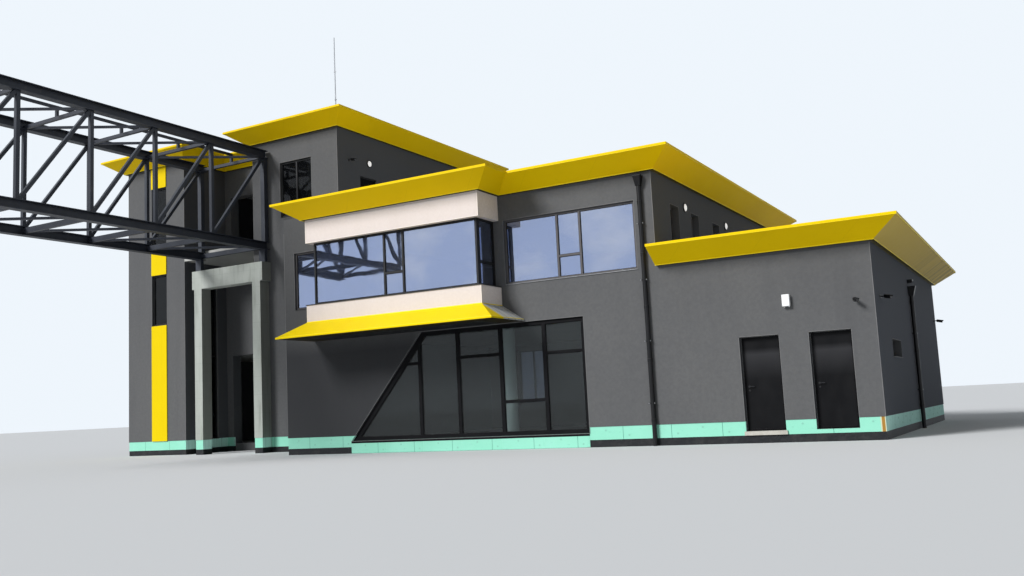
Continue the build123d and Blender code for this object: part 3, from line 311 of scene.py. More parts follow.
def wall_looks():
    """Render, concrete, stone, roofing, and the sheet and boards of the plinth."""
    # Its side tint is darker than the render: painted shade on the right faces
    render = render_look(
        "render", "anthracite_render", colour=(0.103, 0.104, 0.107), light=(0.128, 0.128, 0.127),
        dark=(0.072, 0.073, 0.077), side=(0.066, 0.071, 0.082),
    )
    front = render.beyond("Y", FRONT + 0.08, FRONT + 0.02)
    # Painted shade on the front wall below the canopy
    shade = render.both(render.beyond("X", *SHADE_RIGHT), render.beyond("Z", *SHADE_TOP), front)
    render.tint(shade, (0.028, 0.029, 0.032), 0.85)
    # Painted shade on the annex's right wall
    annex_side_painted_shade = render.both(render.beyond("X", 10.9, 10.94), render.faces("X"))
    render.tint(annex_side_painted_shade, (0.038, 0.043, 0.056), 0.6)
    # Painted shade over the whole height of the front wall left of the bay
    render.tint(render.both(front, render.beyond("X", *SHADE_LEFT)), (0.034, 0.035, 0.038), 0.3)
    # Its side tint is lighter than the render: painted light on the right faces
    render_look(
        "pale_render", "cream_render", colour=(0.68, 0.61, 0.58), light=(0.73, 0.66, 0.63),
        dark=(0.6, 0.53, 0.49), side=(0.9, 0.82, 0.78),
    )

    concrete = Look("concrete", "plain_concrete", (0.42, 0.42, 0.4), 0.9, 0.25)
    concrete.cloud((0.33, 0.33, 0.32), 0.7, 1.2, 6, 0.35, 0.7)
    concrete.dots((0.2, 0.2, 0.19), 0.5, 30, 0.1)
    concrete.grain(0.004, 0.5, 40, 4)

    portal = Look("portal_concrete", "cast_concrete", (0.34, 0.365, 0.33), 0.92, 0.2)
    portal.cloud((0.45, 0.47, 0.44), 0.8, 0.9, 6, 0.35, 0.68, (1, 1, 0.5))
    portal.cloud((0.19, 0.21, 0.18), 0.6, 2.4, 5, 0.52, 0.75, (3, 3, 0.3))
    portal.dots((0.14, 0.15, 0.13), 0.8, 11, 0.12)
    portal.tint(portal.lines(portal.axis("Z"), 0.6, 0.006, 0.12), (0.22, 0.24, 0.21), 0.4)
    # Right faces darker: painted shade
    portal.tint(portal.faces("X"), (0.12, 0.12, 0.105), 0.6)
    portal.bump(portal.ramp(portal.cells(11), 0, 0.13), 0.01, 0.6)
    portal.grain(0.012, 0.7, 26, 5)

    column = Look("pale_column", "pale_column", (0.74, 0.8, 0.76), 0.85, 0.2)
    column.cloud((0.58, 0.64, 0.6), 0.7, 1.5, 6, 0.4, 0.7, (1, 1, 0.4))
    column.grain(0.004, 0.5, 30, 4)

    stone = Look("sill_stone", "sill_stone", (0.5, 0.48, 0.43), 0.85, 0.25)
    stone.cloud((0.36, 0.34, 0.3), 0.8, 6, 6, 0.4, 0.7)
    stone.dots((0.22, 0.21, 0.19), 0.4, 60, 0.2)
    stone.grain(0.003, 0.6, 70, 4)

    roofing = Look("roofing", "roofing_sheet", (0.64, 0.645, 0.64), 0.8, 0.3)
    roofing.cloud((0.72, 0.72, 0.71), 0.7, 0.5, 5, 0.4, 0.68)
    roofing.tint(roofing.lines(roofing.axis("Y"), 1.0, 0.02), (0.45, 0.45, 0.455), 0.8)
    roofing.bump(roofing.lines(roofing.axis("Y"), 1.0, 0.05), 0.006, 0.8)
    roofing.grain(0.003, 0.5, 60, 3)

    bitumen = Look("bitumen", "bitumen_sheet", (0.009, 0.01, 0.012), 0.6, 0.25)
    bitumen.cloud((0.045, 0.043, 0.042), 0.6, 4, 6, 0.5, 0.8)
    bitumen.grain(0.02, 0.6, 14, 5)
    foam_look()

    bead = Look("bead", "render_bead", (0.17, 0.17, 0.17), 0.75, 0.25)
    bead.cloud((0.125, 0.125, 0.13), 0.8, 6, 5, 0.45, 0.7, (1, 1, 0.4))
    bead.grain(0.0008, 0.5, 90, 2)
    pale_bead = Look("pale_bead", "cream_bead", (0.9, 0.84, 0.77), 0.7, 0.3)
    pale_bead.cloud((0.82, 0.74, 0.66), 0.8, 6, 5, 0.45, 0.7)
    anchor = Look("anchor", "anchor_plastic", (0.25, 0.58, 0.45), 0.6, 0.3)
    anchor.cloud((0.2, 0.48, 0.37), 0.8, 60, 3, 0.4, 0.7)


def foam_look():
    """Pale green boards with dust, butt joints, painted light on their right faces, painted shade on their top
    faces, and a strip of paint by the annex's corner.
    """
    look = Look("foam_board", "green_foam", (0.27, 0.66, 0.5), 0.75, 0.15)
    look.cloud((0.32, 0.7, 0.56), 0.7, 1.1, 5, 0.4, 0.72)
    look.cloud((0.14, 0.36, 0.29), 0.35, 7, 6, 0.62, 0.76, (1, 1, 2.2))
    # Right faces lighter: painted light
    side = look.faces("X")
    look.tint(side, (0.6, 0.95, 0.85), 0.9)
    streaks = look.ramp(look.noise(5, 5, (6, 6, 0.2)), 0.5, 0.7)
    look.tint(look.both(side, streaks), (0.26, 0.55, 0.47), 0.6)
    front = look.faces("Y", -0.5, -0.9)
    look.tint(look.both(front, look.beyond("X", 10.83, 10.834)), (0.62, 0.6, 0.42), 0.85)
    strip = look.both(front, look.beyond("X", 10.856, 10.86), look.beyond("X", 10.926, 10.922))
    look.tint(strip, (0.34, 0.16, 0.012), 0.95)
    joint = look.joints(BOARD_LENGTH, 0.007, 0.22)
    look.tint(joint, (0.05, 0.22, 0.17), 0.9)
    # Top faces darker: painted shade in the gap above the boards
    look.tint(look.faces("Z"), (0.06, 0.24, 0.19), 0.85)
    look.bump(joint, 0.006)
    look.grain(0.0015, 0.5, 130, 2)


def yellow_look(key, name, colour, deeper):
    """Painted sheet with a little waviness, in lengths that meet in faint joints."""
    look = Look(key, name, colour, 0.52, 0.06)
    look.cloud(deeper, 0.6, 0.6, 5, 0.4, 0.7)
    look.cloud(deeper, 0.5, 9, 5, 0.58, 0.8, (1, 1, 0.3))
    joint = look.joints(2.0, 0.004, 0.35)
    look.tint(joint, [c * 0.5 for c in colour], 0.35)
    look.bump(joint, 0.003, 0.4)
    look.grain(0.012, 0.3, 1.5, 3, (1, 1, 0.4))
    look.gloss(look.noise(6, 4), 0.4, 0.6)
    return look


def sheet_looks():
    """Yellow sheet of the parapets, the band and the canopy, with its edges brighter as painted highlight, and
    its undersides and the annex's right flare darker as painted shade.
    """
    yellow = yellow_look("yellow_metal", "yellow_sheet", (0.88, 0.6, 0.001), (0.8, 0.53, 0.001))
    # The annex's right flare is browner and darker: painted shade
    annex_flare_painted_shade = yellow.both(yellow.faces("X", 0.3, 0.45), yellow.beyond("X", 10.2, 10.4))
    yellow.tint(annex_flare_painted_shade, (0.5, 0.37, 0.09), 0.85)
    # Darker streaks towards its back: painted shade of real ripples in the sheet
    ripple_painted_shade = yellow.ramp(yellow.noise(1.0, 3, (0.2, 4.5, 0.2)), 0.46, 0.56)
    yellow.tint(yellow.both(annex_flare_painted_shade, yellow.beyond("Y", -1.0, 4.0), ripple_painted_shade), (0.3, 0.23, 0.06), 0.75)
    corner_cap = yellow.both(
        yellow.beyond("X", -4.24, -4.26), yellow.beyond("Y", -5.95, -5.9), yellow.beyond("Z", 7.0, 7.05),
        yellow.beyond("Z", 7.25, 7.2), yellow.faces("Y", -0.8, -0.9),
    )
    yellow.tint(corner_cap, (0.06, 0.06, 0.062))
    yellow_look("yellow_lemon", "yellow_sheet_bright", (0.76, 0.56, 0.001), (0.7, 0.5, 0.001))

    canopy = yellow_look("canopy_metal", "canopy_sheet", (0.8, 0.585, 0.001), (0.74, 0.53, 0.001))
    bare = canopy.both(canopy.faces("X", 0.25, 0.35), canopy.beyond("Y", BAY_FRONT - 0.05, BAY_FRONT - 0.01))
    canopy.tint(bare, (0.46, 0.47, 0.47))
    canopy.tint(canopy.both(bare, canopy.lines(canopy.axis("Y"), 0.34, 0.012, 0.1)), (0.03, 0.03, 0.03))
    # Downward faces near black: painted shade
    canopy.tint(canopy.faces("Z", -0.6, -0.9), (0.03, 0.024, 0.012))

    # A brighter copy of the yellow sheet for its folded edges: painted highlight
    lip = Look("yellow_lip", "yellow_edge_painted_highlight", (0.9, 0.7, 0.008), 0.45, 0.15)
    lip.cloud((0.84, 0.64, 0.006), 0.7, 5, 5, 0.45, 0.75)
    # Dark olive for the strips under the flares, where there is only shade: painted shade
    soffit = Look("soffit", "olive_painted_shade", (0.085, 0.07, 0.018), 0.6, 0.2)
    soffit.cloud((0.03, 0.026, 0.01), 0.8, 4, 5, 0.4, 0.7)


def glass_look(key, name, colour, ior, metallic=0.0, transmission=0.97):
    """Window glass: metallic gives a mirror coating, ior the strength of a plain reflection."""
    look = Look(key, name, colour, 0.02, metallic=metallic)
    look.shader["Transmission Weight"].default_value = transmission
    look.shader["IOR"].default_value = ior
    look.gloss(look.ramp(look.noise(1.6, 5), 0.4, 0.8), 0.01, 0.05)
    look.grain(0.01, 0.25, 0.9, 2)
    return look


def window_looks():
    """Window frames, sills, seals and glass."""
    frames = Look("window_frame", "black_aluminium", (0.01, 0.0105, 0.012), 0.45, 0.25)
    frames.cloud((0.022, 0.022, 0.024), 0.5, 3, 5, 0.45, 0.75)
    frames.gloss(frames.noise(8, 4), 0.36, 0.58)
    frames.grain(0.0006, 0.4, 180, 2)
    satin = Look("black_frame", "satin_black_aluminium", (0.004, 0.004, 0.005), 0.6, 0.08)
    satin.cloud((0.009, 0.009, 0.01), 0.5, 3, 5, 0.45, 0.75)
    satin.gloss(satin.noise(8, 4), 0.5, 0.7)
    satin.grain(0.0006, 0.4, 180, 2)
    # A lighter grey for the hall's frames, which stands for the sky's reflection in them: painted reflection
    grey = Look("grey_frame", "aluminium_painted_sky_reflection", (0.075, 0.071, 0.075), 0.5, 0.25)
    grey.cloud((0.1, 0.095, 0.1), 0.6, 3, 5, 0.45, 0.75)
    sill = Look("sill_metal", "sill_aluminium", (0.2, 0.205, 0.21), 0.45, 0.4, 0.6)
    sill.cloud((0.13, 0.135, 0.14), 0.8, 5, 5, 0.45, 0.7)
    gasket = Look("gasket", "rubber_gasket", (0.008, 0.008, 0.009), 0.7, 0.3)
    gasket.grain(0.0005, 0.4, 150, 2)

    glass_look("glass", "clear_dark_glass", (0.42, 0.47, 0.48), 1.32)
    glass_look("dark_glass", "near_black_glass", (0.12, 0.13, 0.145), 1.28)
    glass_look("side_glass", "deep_blue_glass", (0.045, 0.05, 0.075), 1.14)
    mirror = glass_look("mirror_glass", "blue_mirror_glass", (0.41, 0.48, 0.68), 1.5, 0.62, 0.9)
    # Paler clouds on the glass: painted reflection of clouds
    mirror.cloud((0.66, 0.68, 0.76), 0.55, 0.45, 5, 0.48, 0.72, (1, 1, 1.8))
    mirror.link(mirror.ramp(mirror.facing("Y"), 0.5, 0.9, 0.62, 0.03), mirror.shader["Metallic"])


def fitting_looks():
    """Doors, bridge steel, pipes, lamps, cameras, the wall box and the rod."""
    door = Look("door_steel", "black_door_steel", (0.003, 0.003, 0.0038), 0.4, 0.12)
    door.cloud((0.006, 0.006, 0.007), 0.6, 2.2, 5, 0.42, 0.72, (1, 1, 0.5))
    # A lighter band across the upper leaf: painted highlight
    door.tint(door.both(door.beyond("Z", 1.45, 2.02), door.beyond("Z", 2.16, 2.02)), (0.034, 0.034, 0.037), 0.75)
    door.gloss(door.ramp(door.noise(3.1, 6, (1, 1, 0.6)), 0.3, 0.75), 0.28, 0.5)
    door.grain(0.012, 0.3, 1.4, 2)
    door.grain(0.0004, 0.4, 210, 2)
    matt = Look("matt_black", "matt_black_door", (0.003, 0.003, 0.0035), 0.8, 0.05)
    matt.cloud((0.008, 0.008, 0.009), 0.6, 3, 5, 0.45, 0.7)
    handle = Look("handle", "handle_steel", (0.03, 0.03, 0.032), 0.35, 0.3, 0.6)
    handle.gloss(handle.noise(60, 3, (1, 1, 6)), 0.2, 0.42)

    steel = Look("bridge_steel", "bridge_paint", (0.023, 0.027, 0.038), 0.45, 0.3)
    steel.cloud((0.038, 0.044, 0.058), 0.6, 1.3, 6, 0.42, 0.7)
    steel.cloud((0.12, 0.1, 0.09), 0.2, 7, 6, 0.62, 0.74, (1, 1, 0.4))
    steel.gloss(steel.noise(5, 5), 0.32, 0.62)
    steel.grain(0.0012, 0.5, 90, 3)

    pipe = Look("pipe_metal", "black_pipe", (0.006, 0.006, 0.007), 0.4, 0.25)
    pipe.cloud((0.016, 0.016, 0.018), 0.6, 4, 5, 0.45, 0.75, (1, 1, 0.3))
    pipe.gloss(pipe.noise(10, 4), 0.25, 0.5)
    pipe.grain(0.0008, 0.4, 120, 2)
    rod = Look("rod_metal", "galvanised_rod", (0.34, 0.35, 0.37), 0.42, metallic=0.85)
    rod.tint(rod.ramp(rod.cells(30), 0.1, 0.6), (0.24, 0.25, 0.27), 0.6)

    plastic = Look("white_plastic", "white_plastic", (0.8, 0.81, 0.83), 0.4, 0.5)
    plastic.cloud((0.66, 0.66, 0.64), 0.6, 9, 5, 0.5, 0.8)
    plastic.grain(0.0005, 0.4, 220, 2)
    cover = Look("lamp_cover", "lamp_cover", (0.9, 0.9, 0.9), 0.35, 0.5)
    cover.cloud((0.84, 0.84, 0.85), 0.6, 20, 3, 0.4, 0.7)
    cover.shader["Emission Color"].default_value = (1, 0.99, 0.97, 1)
    cover.shader["Emission Strength"].default_value = 0.45
    housing = Look("camera_housing", "camera_housing", (0.03, 0.03, 0.033), 0.32, 0.5)
    housing.cloud((0.06, 0.06, 0.064), 0.5, 40, 4, 0.45, 0.7)
    shell = Look("camera_shell", "camera_shell", (0.008, 0.008, 0.009), 0.4, 0.25)
    shell.gloss(shell.noise(30, 4), 0.25, 0.5)
    lens = Look("lens", "lens_glass", (0.004, 0.004, 0.006), 0.05, 0.8)
    lens.gloss(lens.noise(60, 3), 0.03, 0.1)


# Nodes that take another look than that of their material slot
OWN_LOOKS = {
    "annex_window_panes": "side_glass",
    "bay_canopy": "canopy_metal",
    "bay_window_panes": "mirror_glass",
    "hall_columns": "pale_column",
    "hall_glazing_frame": "black_frame",
    "hall_window_frames": "grey_frame",
    "hall_window_panes": "mirror_glass",
    "tower_roof_door": "matt_black",
    "tower_window_panes": "dark_glass",
    "tower_yellow_band": "yellow_lemon",
}


def paint_nodes():
    slots = {part["node"]: part["material_slot"] for part in frame["record"]["subparts"]}
    for name, thing in nodes.items():
        look = looks[OWN_LOOKS.get(name, slots[name])]
        if not thing.material_slots:
            thing.data.materials.append(look.material)
        for place in thing.material_slots:
            place.material = look.material


class Build:
    """Small solids gathered into one piece of the building."""

    def __init__(self):
        self.mesh = bmesh.new()

    def points(self, line):
        return [self.mesh.verts.new(p) for p in line]

    def walls(self, near, far):
        """Faces between two loops with as many points."""
        for i in range(len(near)):
            j = (i + 1) % len(near)
            self.mesh.faces.new((near[j], near[i], far[i], far[j]))

    def prism(self, outline, shift):
        """Solid between a flat outline and its copy moved by shift."""
        near = self.points(outline)
        far = self.points(Vector(p) + Vector(shift) for p in outline)
        self.mesh.faces.new(near)
        self.mesh.faces.new(far[::-1])
        self.walls(near, far)

    def box(self, low, high):
        (x, y, z), (X, Y, Z) = low, high
        self.prism([(x, y, z), (X, y, z), (X, Y, z), (x, Y, z)], (0, 0, Z - z))

    def ring(self, outer, inner, shift):
        """Flat frame between two outlines with as many points, raised by shift."""
        lifts = Vector(), Vector(shift)
        outer_low, outer_high, inner_low, inner_high = [
            self.points(Vector(p) + lift for p in line) for line in (outer, inner) for lift in lifts
        ]
        self.walls(outer_low, outer_high)
        self.walls(inner_high, inner_low)
        self.walls(inner_low, outer_low)
        self.walls(outer_high, inner_high)

    def turned_shape(self, middle, axis, profile, sides=28):
        """Round shape from (radius, distance along the axis) points."""
        turn = Vector(axis).to_track_quat("Z", "Y").to_matrix()
        angles = [2 * math.pi * i / sides for i in range(sides)]
        loops = []
        for radius, along in profile:
            line = [Vector((math.cos(a) * radius, math.sin(a) * radius, along)) for a in angles]
            loops.append(self.points(Vector(middle) + turn @ p for p in line))
        self.mesh.faces.new(loops[0][::-1])
        self.mesh.faces.new(loops[-1])
        for low, high in zip(loops, loops[1:]):
            self.walls(high, low)

    def rod(self, start, end, radius, sides=14, end_radius=None):
        """Round bar, or a cone where it ends in another radius."""
        axis = Vector(end) - Vector(start)
        self.turned_shape(start, axis, [(radius, 0), (end_radius or radius, axis.length)], sides)

    def sweep(self, route, profile, z, closed=False):
        """Carries (outward, up) points along a plan route with mitred corners, the building on its left."""
        loops = []
        count = len(route)
        for i, (x, y) in enumerate(route):
            sides = []
            for a, b in ((i - 1, i), (i, i + 1)):
                if closed or (a >= 0 and b < count):
                    ahead = (Vector(route[b % count]) - Vector(route[a % count])).normalized()
                    sides.append(Vector((ahead.y, -ahead.x)))
            mitre = sum(sides, Vector((0, 0)))
            if len(sides) == 2:
                mitre /= 1 + sides[0].dot(sides[1])
            loops.append(self.points((x + mitre.x * out, y + mitre.y * out, z + up) for out, up in profile))
        for low, high in zip(loops, loops[1:] + loops[:1] if closed else loops[1:]):
            self.walls(low, high)
        if not closed:
            self.mesh.faces.new(loops[0])
            self.mesh.faces.new(loops[-1][::-1])

    def done(self, name, look, slot, body="building", bevel=0.0, smooth=False):
        """Makes the piece in a look, on a body; slot is not used."""
        bmesh.ops.recalc_face_normals(self.mesh, faces=self.mesh.faces)
        mesh = bpy.data.meshes.new(name)
        self.mesh.to_mesh(mesh)
        self.mesh.free()
        piece = add_object(name, mesh)
        mesh.materials.append(looks[look].material)
        if smooth:
            for face in mesh.polygons:
                face.use_smooth = True
            mesh.set_sharp_from_angle(angle=math.radians(35))
        if bevel:
            edge = piece.modifiers.new("soft_edges", "BEVEL")
            edge.width = bevel
            edge.segments = 2
            edge.limit_method = "ANGLE"
            edge.angle_limit = math.radians(40)
        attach(piece, body)
        return piece


def islands(name):
    """Separate solids of a node, each as a list of (normal, area, corners) faces."""
    whole = bmesh.new()
    whole.from_mesh(nodes[name].data)
    bmesh.ops.remove_doubles(whole, verts=whole.verts, dist=1e-4)
    bmesh.ops.dissolve_limit(whole, angle_limit=0.02, verts=whole.verts, edges=whole.edges)
    seen, found = set(), []
    for face in whole.faces:
        if face in seen:
            continue
        # The group grows while it is walked, until it holds the whole solid
        group = [face]
        seen.add(face)
        for here in group:
            for other in [linked for edge in here.edges for linked in edge.link_faces]:
                if other not in seen:
                    seen.add(other)
                    group.append(other)
        found.append([(f.normal.copy(), f.calc_area(), [v.co.copy() for v in f.verts]) for f in group])
    whole.free()
    return found


def corners_of(solid):
    """Lowest and highest corner of a solid's box."""
    points = [p for _, _, line in solid for p in line]
    return [Vector([end(p[i] for p in points) for i in range(3)]) for end in (min, max)]


def outside_of(low, high):
    """Direction in which a window at these corners looks out."""
    middle = (low + high) / 2
    if high.y - low.y < high.x - low.x:
        return Vector((0, -1 if middle.y < 0 else 1, 0))
    on_left_of_bay = middle.y < FRONT - 0.02 and middle.x < BAY_LEFT + 1
    return Vector((-1 if on_left_of_bay else 1, 0, 0))


def inset(line, distance):
    """A flat convex outline drawn in by a distance."""
    fans = [(line[i] - line[0]).cross(line[i + 1] - line[0]) for i in range(1, len(line) - 1)]
    normal = sum(fans, Vector()).normalized()
    result = []
    for i in range(len(line)):
        before = (line[i] - line[i - 1]).normalized()
        after = (line[(i + 1) % len(line)] - line[i]).normalized()
        in_before, in_after = normal.cross(before), normal.cross(after)
        result.append(line[i] + (in_before + in_after) * distance / (1 + in_before.dot(in_after)))
    return result


def rectangle(low, high):
    """Corners of an upright rectangle between two opposite ones."""
    return [Vector(p) for p in (low, (high[0], high[1], low[2]), high, (low[0], low[1], high[2]))]


def wall_rectangle(low, high, out, grow, plane):
    """Corners of a window's outline, moved out by plane and grown by grow."""
    face = (high if max(out) > 0 else low) + out * plane
    reach = Vector((grow * abs(out.y), grow * abs(out.x), grow))
    low, high = low - reach, high + reach
    if out.x:
        return rectangle((face.x, low.y, low.z), (face.x, high.y, high.z))
    return rectangle((low.x, face.y, low.z), (high.x, face.y, high.z))


def glazing_outline(grow=0.0):
    """Outline of the ground glazing's opening on the wall's face, grown by a distance."""
    return inset([Vector((x, FRONT, z)) for x, z in GLAZING], -grow)


PANE_NODES = (
    "hall_glazing_panes", "hall_window_panes", "bay_window_panes", "annex_window_panes", "tower_window_panes"
)
PANE_BEAD = 0.008
BEAD_HEIGHT_OUTSIDE, BEAD_HEIGHT_INSIDE = 0.024, 0.018
PANE_GASKET = 0.005
GASKET_HEIGHT = 0.003


def glazing_beads():
    """Beads and rubber gaskets that hold each pane in its frame, inside and out."""
    beads, gaskets = Build(), Build()
    for name in PANE_NODES:
        for solid in islands(name):
            out = outside_of(*corners_of(solid))
            for normal, _, line in sorted(solid, key=lambda part: -part[1])[:2]:
                gaskets.ring(line, inset(line, PANE_BEAD + PANE_GASKET), normal * GASKET_HEIGHT)
                height = BEAD_HEIGHT_OUTSIDE if normal.dot(out) > 0 else BEAD_HEIGHT_INSIDE
                beads.ring(line, inset(line, PANE_BEAD), normal * height)
    beads.done("glazing_beads", "black_frame", "window_frame", bevel=0.002)
    gaskets.done("glazing_gaskets", "gasket", "window_frame")


FRAME_NODES = ("hall_window_frames", "annex_window_frames", "tower_window_frames")
SETBACK, SIDE_SETBACK = 0.06, 0.18
SILL_REACH = 0.02

# Render bead along edges and openings: how wide it is, and how far it stands proud
BEAD, PROUD = 0.011, 0.0025


def window_trim():
    """Metal sills, and the bright render beads that edge each window opening."""
    sills, pale_sills, edges = Build(), Build(), Build()
    for name in FRAME_NODES:
        for solid in islands(name):
            low, high = corners_of(solid)
            out = outside_of(low, high)
            setback = SIDE_SETBACK if out.x > 0 and high.x > 5 else SETBACK
            opening = wall_rectangle(low, high, out, 0, setback)
            edges.ring(wall_rectangle(low, high, out, BEAD, setback), opening, out * PROUD)
            left, right = opening[:2]
            back, reach = -out * (setback - 0.001), out * SILL_REACH
            profile = [
                left + shift + Vector((0, 0, z)) for shift, z in (
                    (back, 0.01), (reach, 0.003), (reach, -0.012),
                    (reach * 0.85, -0.012), (reach * 0.85, 0.0005), (back, 0.0005),
                )
            ]
            metal = pale_sills if high.x - low.x > 2 and out.y < 0 else sills
            metal.prism(profile, right - left)
    edges.ring(glazing_outline(BEAD), glazing_outline(), (0, -PROUD, 0))
    sills.done("window_sills", "window_frame", "window_frame", bevel=0.001)
    pale_sills.done("wide_window_sills", "sill_metal", "window_frame", bevel=0.001)
    edges.done("opening_beads", "bead", "render")


# Sections of the parapet's trim, as (outward from the wall, up from the eaves) points
FOOT_DRIP = [
    (0.1, 0.0), (0.114, 0.003), (0.114, -0.01), (0.11, -0.013),
    (0.106, -0.01), (0.106, -0.003), (0.1, -0.003),
]
LIP_BEAD = [(0.688, 0.396), (0.7, 0.396), (0.7, 0.384), (0.694, 0.38), (0.688, 0.384)]
TOP_SEAM = [(0.6, 0.446), (0.66, 0.446), (0.66, 0.4475), (0.6, 0.4475)]
# The strip under the flare that carries the painted shade
SOFFIT_SHADE_STRIP = [(0.0, -0.014), (0.012, -0.014), (0.016, -0.003), (0.098, -0.003), (0.098, 0.0), (0.0, 0.0)]


def parapet_trim():
    """Drip at the foot of each flare, a bead along its lip and a seam on top, in the brighter yellow of painted
    highlight, and a dark strip of painted shade under it.
    """
    for name, route in PARAPET_ROUTES.items():
        closed = name in CLOSED_PARAPETS
        folds, soffit = Build(), Build()
        for profile in (FOOT_DRIP, LIP_BEAD, TOP_SEAM):
            folds.sweep(route, profile, EAVES[name], closed)
        # A dark strip under each flare: painted shade
        soffit.sweep(route, SOFFIT_SHADE_STRIP, EAVES[name], closed)
        # The folds take the brighter edge yellow: painted highlight
        folds.done(name + "_parapet_folds", "yellow_lip", "yellow_metal", bevel=0.0015)
        soffit.done(name + "_parapet_soffit_shade", "soffit", "yellow_metal")


def add_corner_bead(build, x, y, right, back, foot, top):
    """Angle bead on an upright corner; right and back are 1 or -1, for the sides that it faces."""
    line = [
        (x - right * BEAD, y + back * PROUD), (x + right * PROUD, y + back * PROUD),
        (x + right * PROUD, y - back * BEAD), (x, y - back * BEAD), (x, y), (x - right * BEAD, y),
    ]
    build.prism([(a, b, foot) for a, b in line], (0, 0, top - foot))


# Metal over the bay's lower band, as (outward, up) points: the sill and its drip
BAY_SILL_SHEET = [(-0.2, 0.0), (0.022, 0.0), (0.022, 0.006), (-0.2, 0.012)]
BAY_SILL_DRIP = [(0.006, -0.016), (0.022, -0.016), (0.022, 0.0), (0.006, 0.0)]
BAY_BAND_BEAD = [(0.0, 0.0), (0.004, 0.0), (0.004, 0.012), (0.0, 0.012)]


def corner_beads():
    """Straight bright beads where two rendered faces meet, and the bay's sill."""
    build = Build()
    annex, hall, tower = (PLINTH_TOP, 4.31), (PLINTH_TOP, 6.7), (PLINTH_TOP, 10.52)
    hall_over_annex, tower_over_hall = (4.8, 6.7), (7.2, 10.52)
    for x, y, right, back, span in (
        (ANNEX_RIGHT, FRONT, 1, -1, annex), (ANNEX_RIGHT, BACK, 1, 1, annex),
        (HALL_RIGHT, FRONT, 1, -1, hall_over_annex), (HALL_RIGHT, BACK, 1, 1, hall_over_annex),
        (HALL_LEFT, FRONT, -1, -1, hall), (TOWER_RIGHT, BACK, 1, 1, tower_over_hall),
        (TOWER_RIGHT, TOWER_FRONT, 1, -1, tower_over_hall), (TOWER_LEFT, TOWER_FRONT, -1, -1, tower),
        (TOWER_LEFT, BACK, -1, 1, tower), (RECESS_LEFT, TOWER_FRONT, 1, -1, tower),
        (RECESS_RIGHT, TOWER_FRONT, -1, -1, tower),
    ):
        add_corner_bead(build, x, y, right, back, *span)
    build.done("corner_beads", "bead", "render")
    pale = Build()
    for foot, top in ((3.772, 4.268), (6.062, 6.7)):
        for x, right in ((BAY_LEFT, -1), (BAY_RIGHT, 1)):
            add_corner_bead(pale, x, BAY_FRONT, right, -1, foot, top)
    for z in (4.258, 6.06):
        pale.sweep(BAY_ROUTE, BAY_BAND_BEAD, z)
    pale.done("bay_band_beads", "pale_bead", "pale_render")
    sill = Build()
    sill.sweep(BAY_ROUTE, BAY_SILL_SHEET, BAY_SILL)
    sill.sweep(BAY_ROUTE, BAY_SILL_DRIP, BAY_SILL)
    sill.done("bay_sill_metal", "window_frame", "window_frame", bevel=0.001)


# Annex doors: the sides of each doorway, its foot and top, and the face, foot and top of the leaves
DOORWAYS = {"left": (7.891, 8.811), "right": (9.481, 10.401)}
DOOR_FOOT, DOOR_TOP = 0.271, 2.435
LEAF_FACE, LEAF_FOOT, LEAF_TOP = -5.73, 0.278, 2.385
LEAF_INSET = 0.05
WEATHER_BAR_INSET = 0.075
LOCK_INSET, LOCK_HEIGHT = 0.12, 1.2
LOCK_ROSE = [(0.023, 0), (0.023, 0.005), (0.019, 0.008), (0.01, 0.008), (0.01, 0.012), (0.002, 0.012)]


def door_detail():
    """Folded edges, lock and weather bar on each leaf; a seal and a bright bead round each doorway."""
    seals, edges = Build(), Build()
    for side, (left, right) in DOORWAYS.items():
        folds = Build()
        leaf = rectangle((left + LEAF_INSET, LEAF_FACE, LEAF_FOOT), (right - LEAF_INSET, LEAF_FACE, LEAF_TOP))
        folds.ring(inset(leaf, 0.001), inset(leaf, 0.013), (0, -0.0015, 0))
        bar_left, bar_right, bar_foot = left + WEATHER_BAR_INSET, right - WEATHER_BAR_INSET, LEAF_FOOT + 0.02
        folds.box((bar_left, LEAF_FACE - 0.014, bar_foot), (bar_right, LEAF_FACE, bar_foot + 0.028))
        folds.box((bar_left, LEAF_FACE - 0.022, bar_foot), (bar_right, LEAF_FACE - 0.014, bar_foot + 0.006))
        folds.done(side + "_door_folds", "door_steel", "door_steel", side + "_door", bevel=0.001)
        lock = Build()
        x, z = left + LOCK_INSET, LOCK_HEIGHT
        lock.turned_shape((x, LEAF_FACE, z), (0, -1, 0), LOCK_ROSE)
        lock.box((x - 0.003, LEAF_FACE - 0.013, z - 0.018), (x + 0.003, LEAF_FACE - 0.007, z))
        lock.done(side + "_door_lock", "handle", "handle", side + "_door", smooth=True)
        outer, inner = [
            rectangle((left + gap, LEAF_FACE, DOOR_FOOT), (right - gap, LEAF_FACE, DOOR_TOP - gap))
            for gap in (0.002, 0.012)
        ]
        seals.ring(outer, inner, (0, -0.006, 0))
        for a, b in ((left - BEAD, left), (right, right + BEAD)):
            edges.box((a, FRONT - PROUD, PLINTH_TOP), (b, FRONT, DOOR_TOP + BEAD))
        edges.box((left - BEAD, FRONT - PROUD, DOOR_TOP), (right + BEAD, FRONT, DOOR_TOP + BEAD))
    seals.done("door_frame_seals", "bead", "window_frame", bevel=0.001)
    edges.done("doorway_beads", "bead", "render")


# Canopy below the bay: its lowest level, how far it rises and stands out, and the depth of its lip
CANOPY_FOOT, CANOPY_RISE, CANOPY_OUT, CANOPY_LIP = 3.312, 0.458, 0.639, 0.04
CANOPY_CLIPS, CLIP_PITCH = 4, 0.27


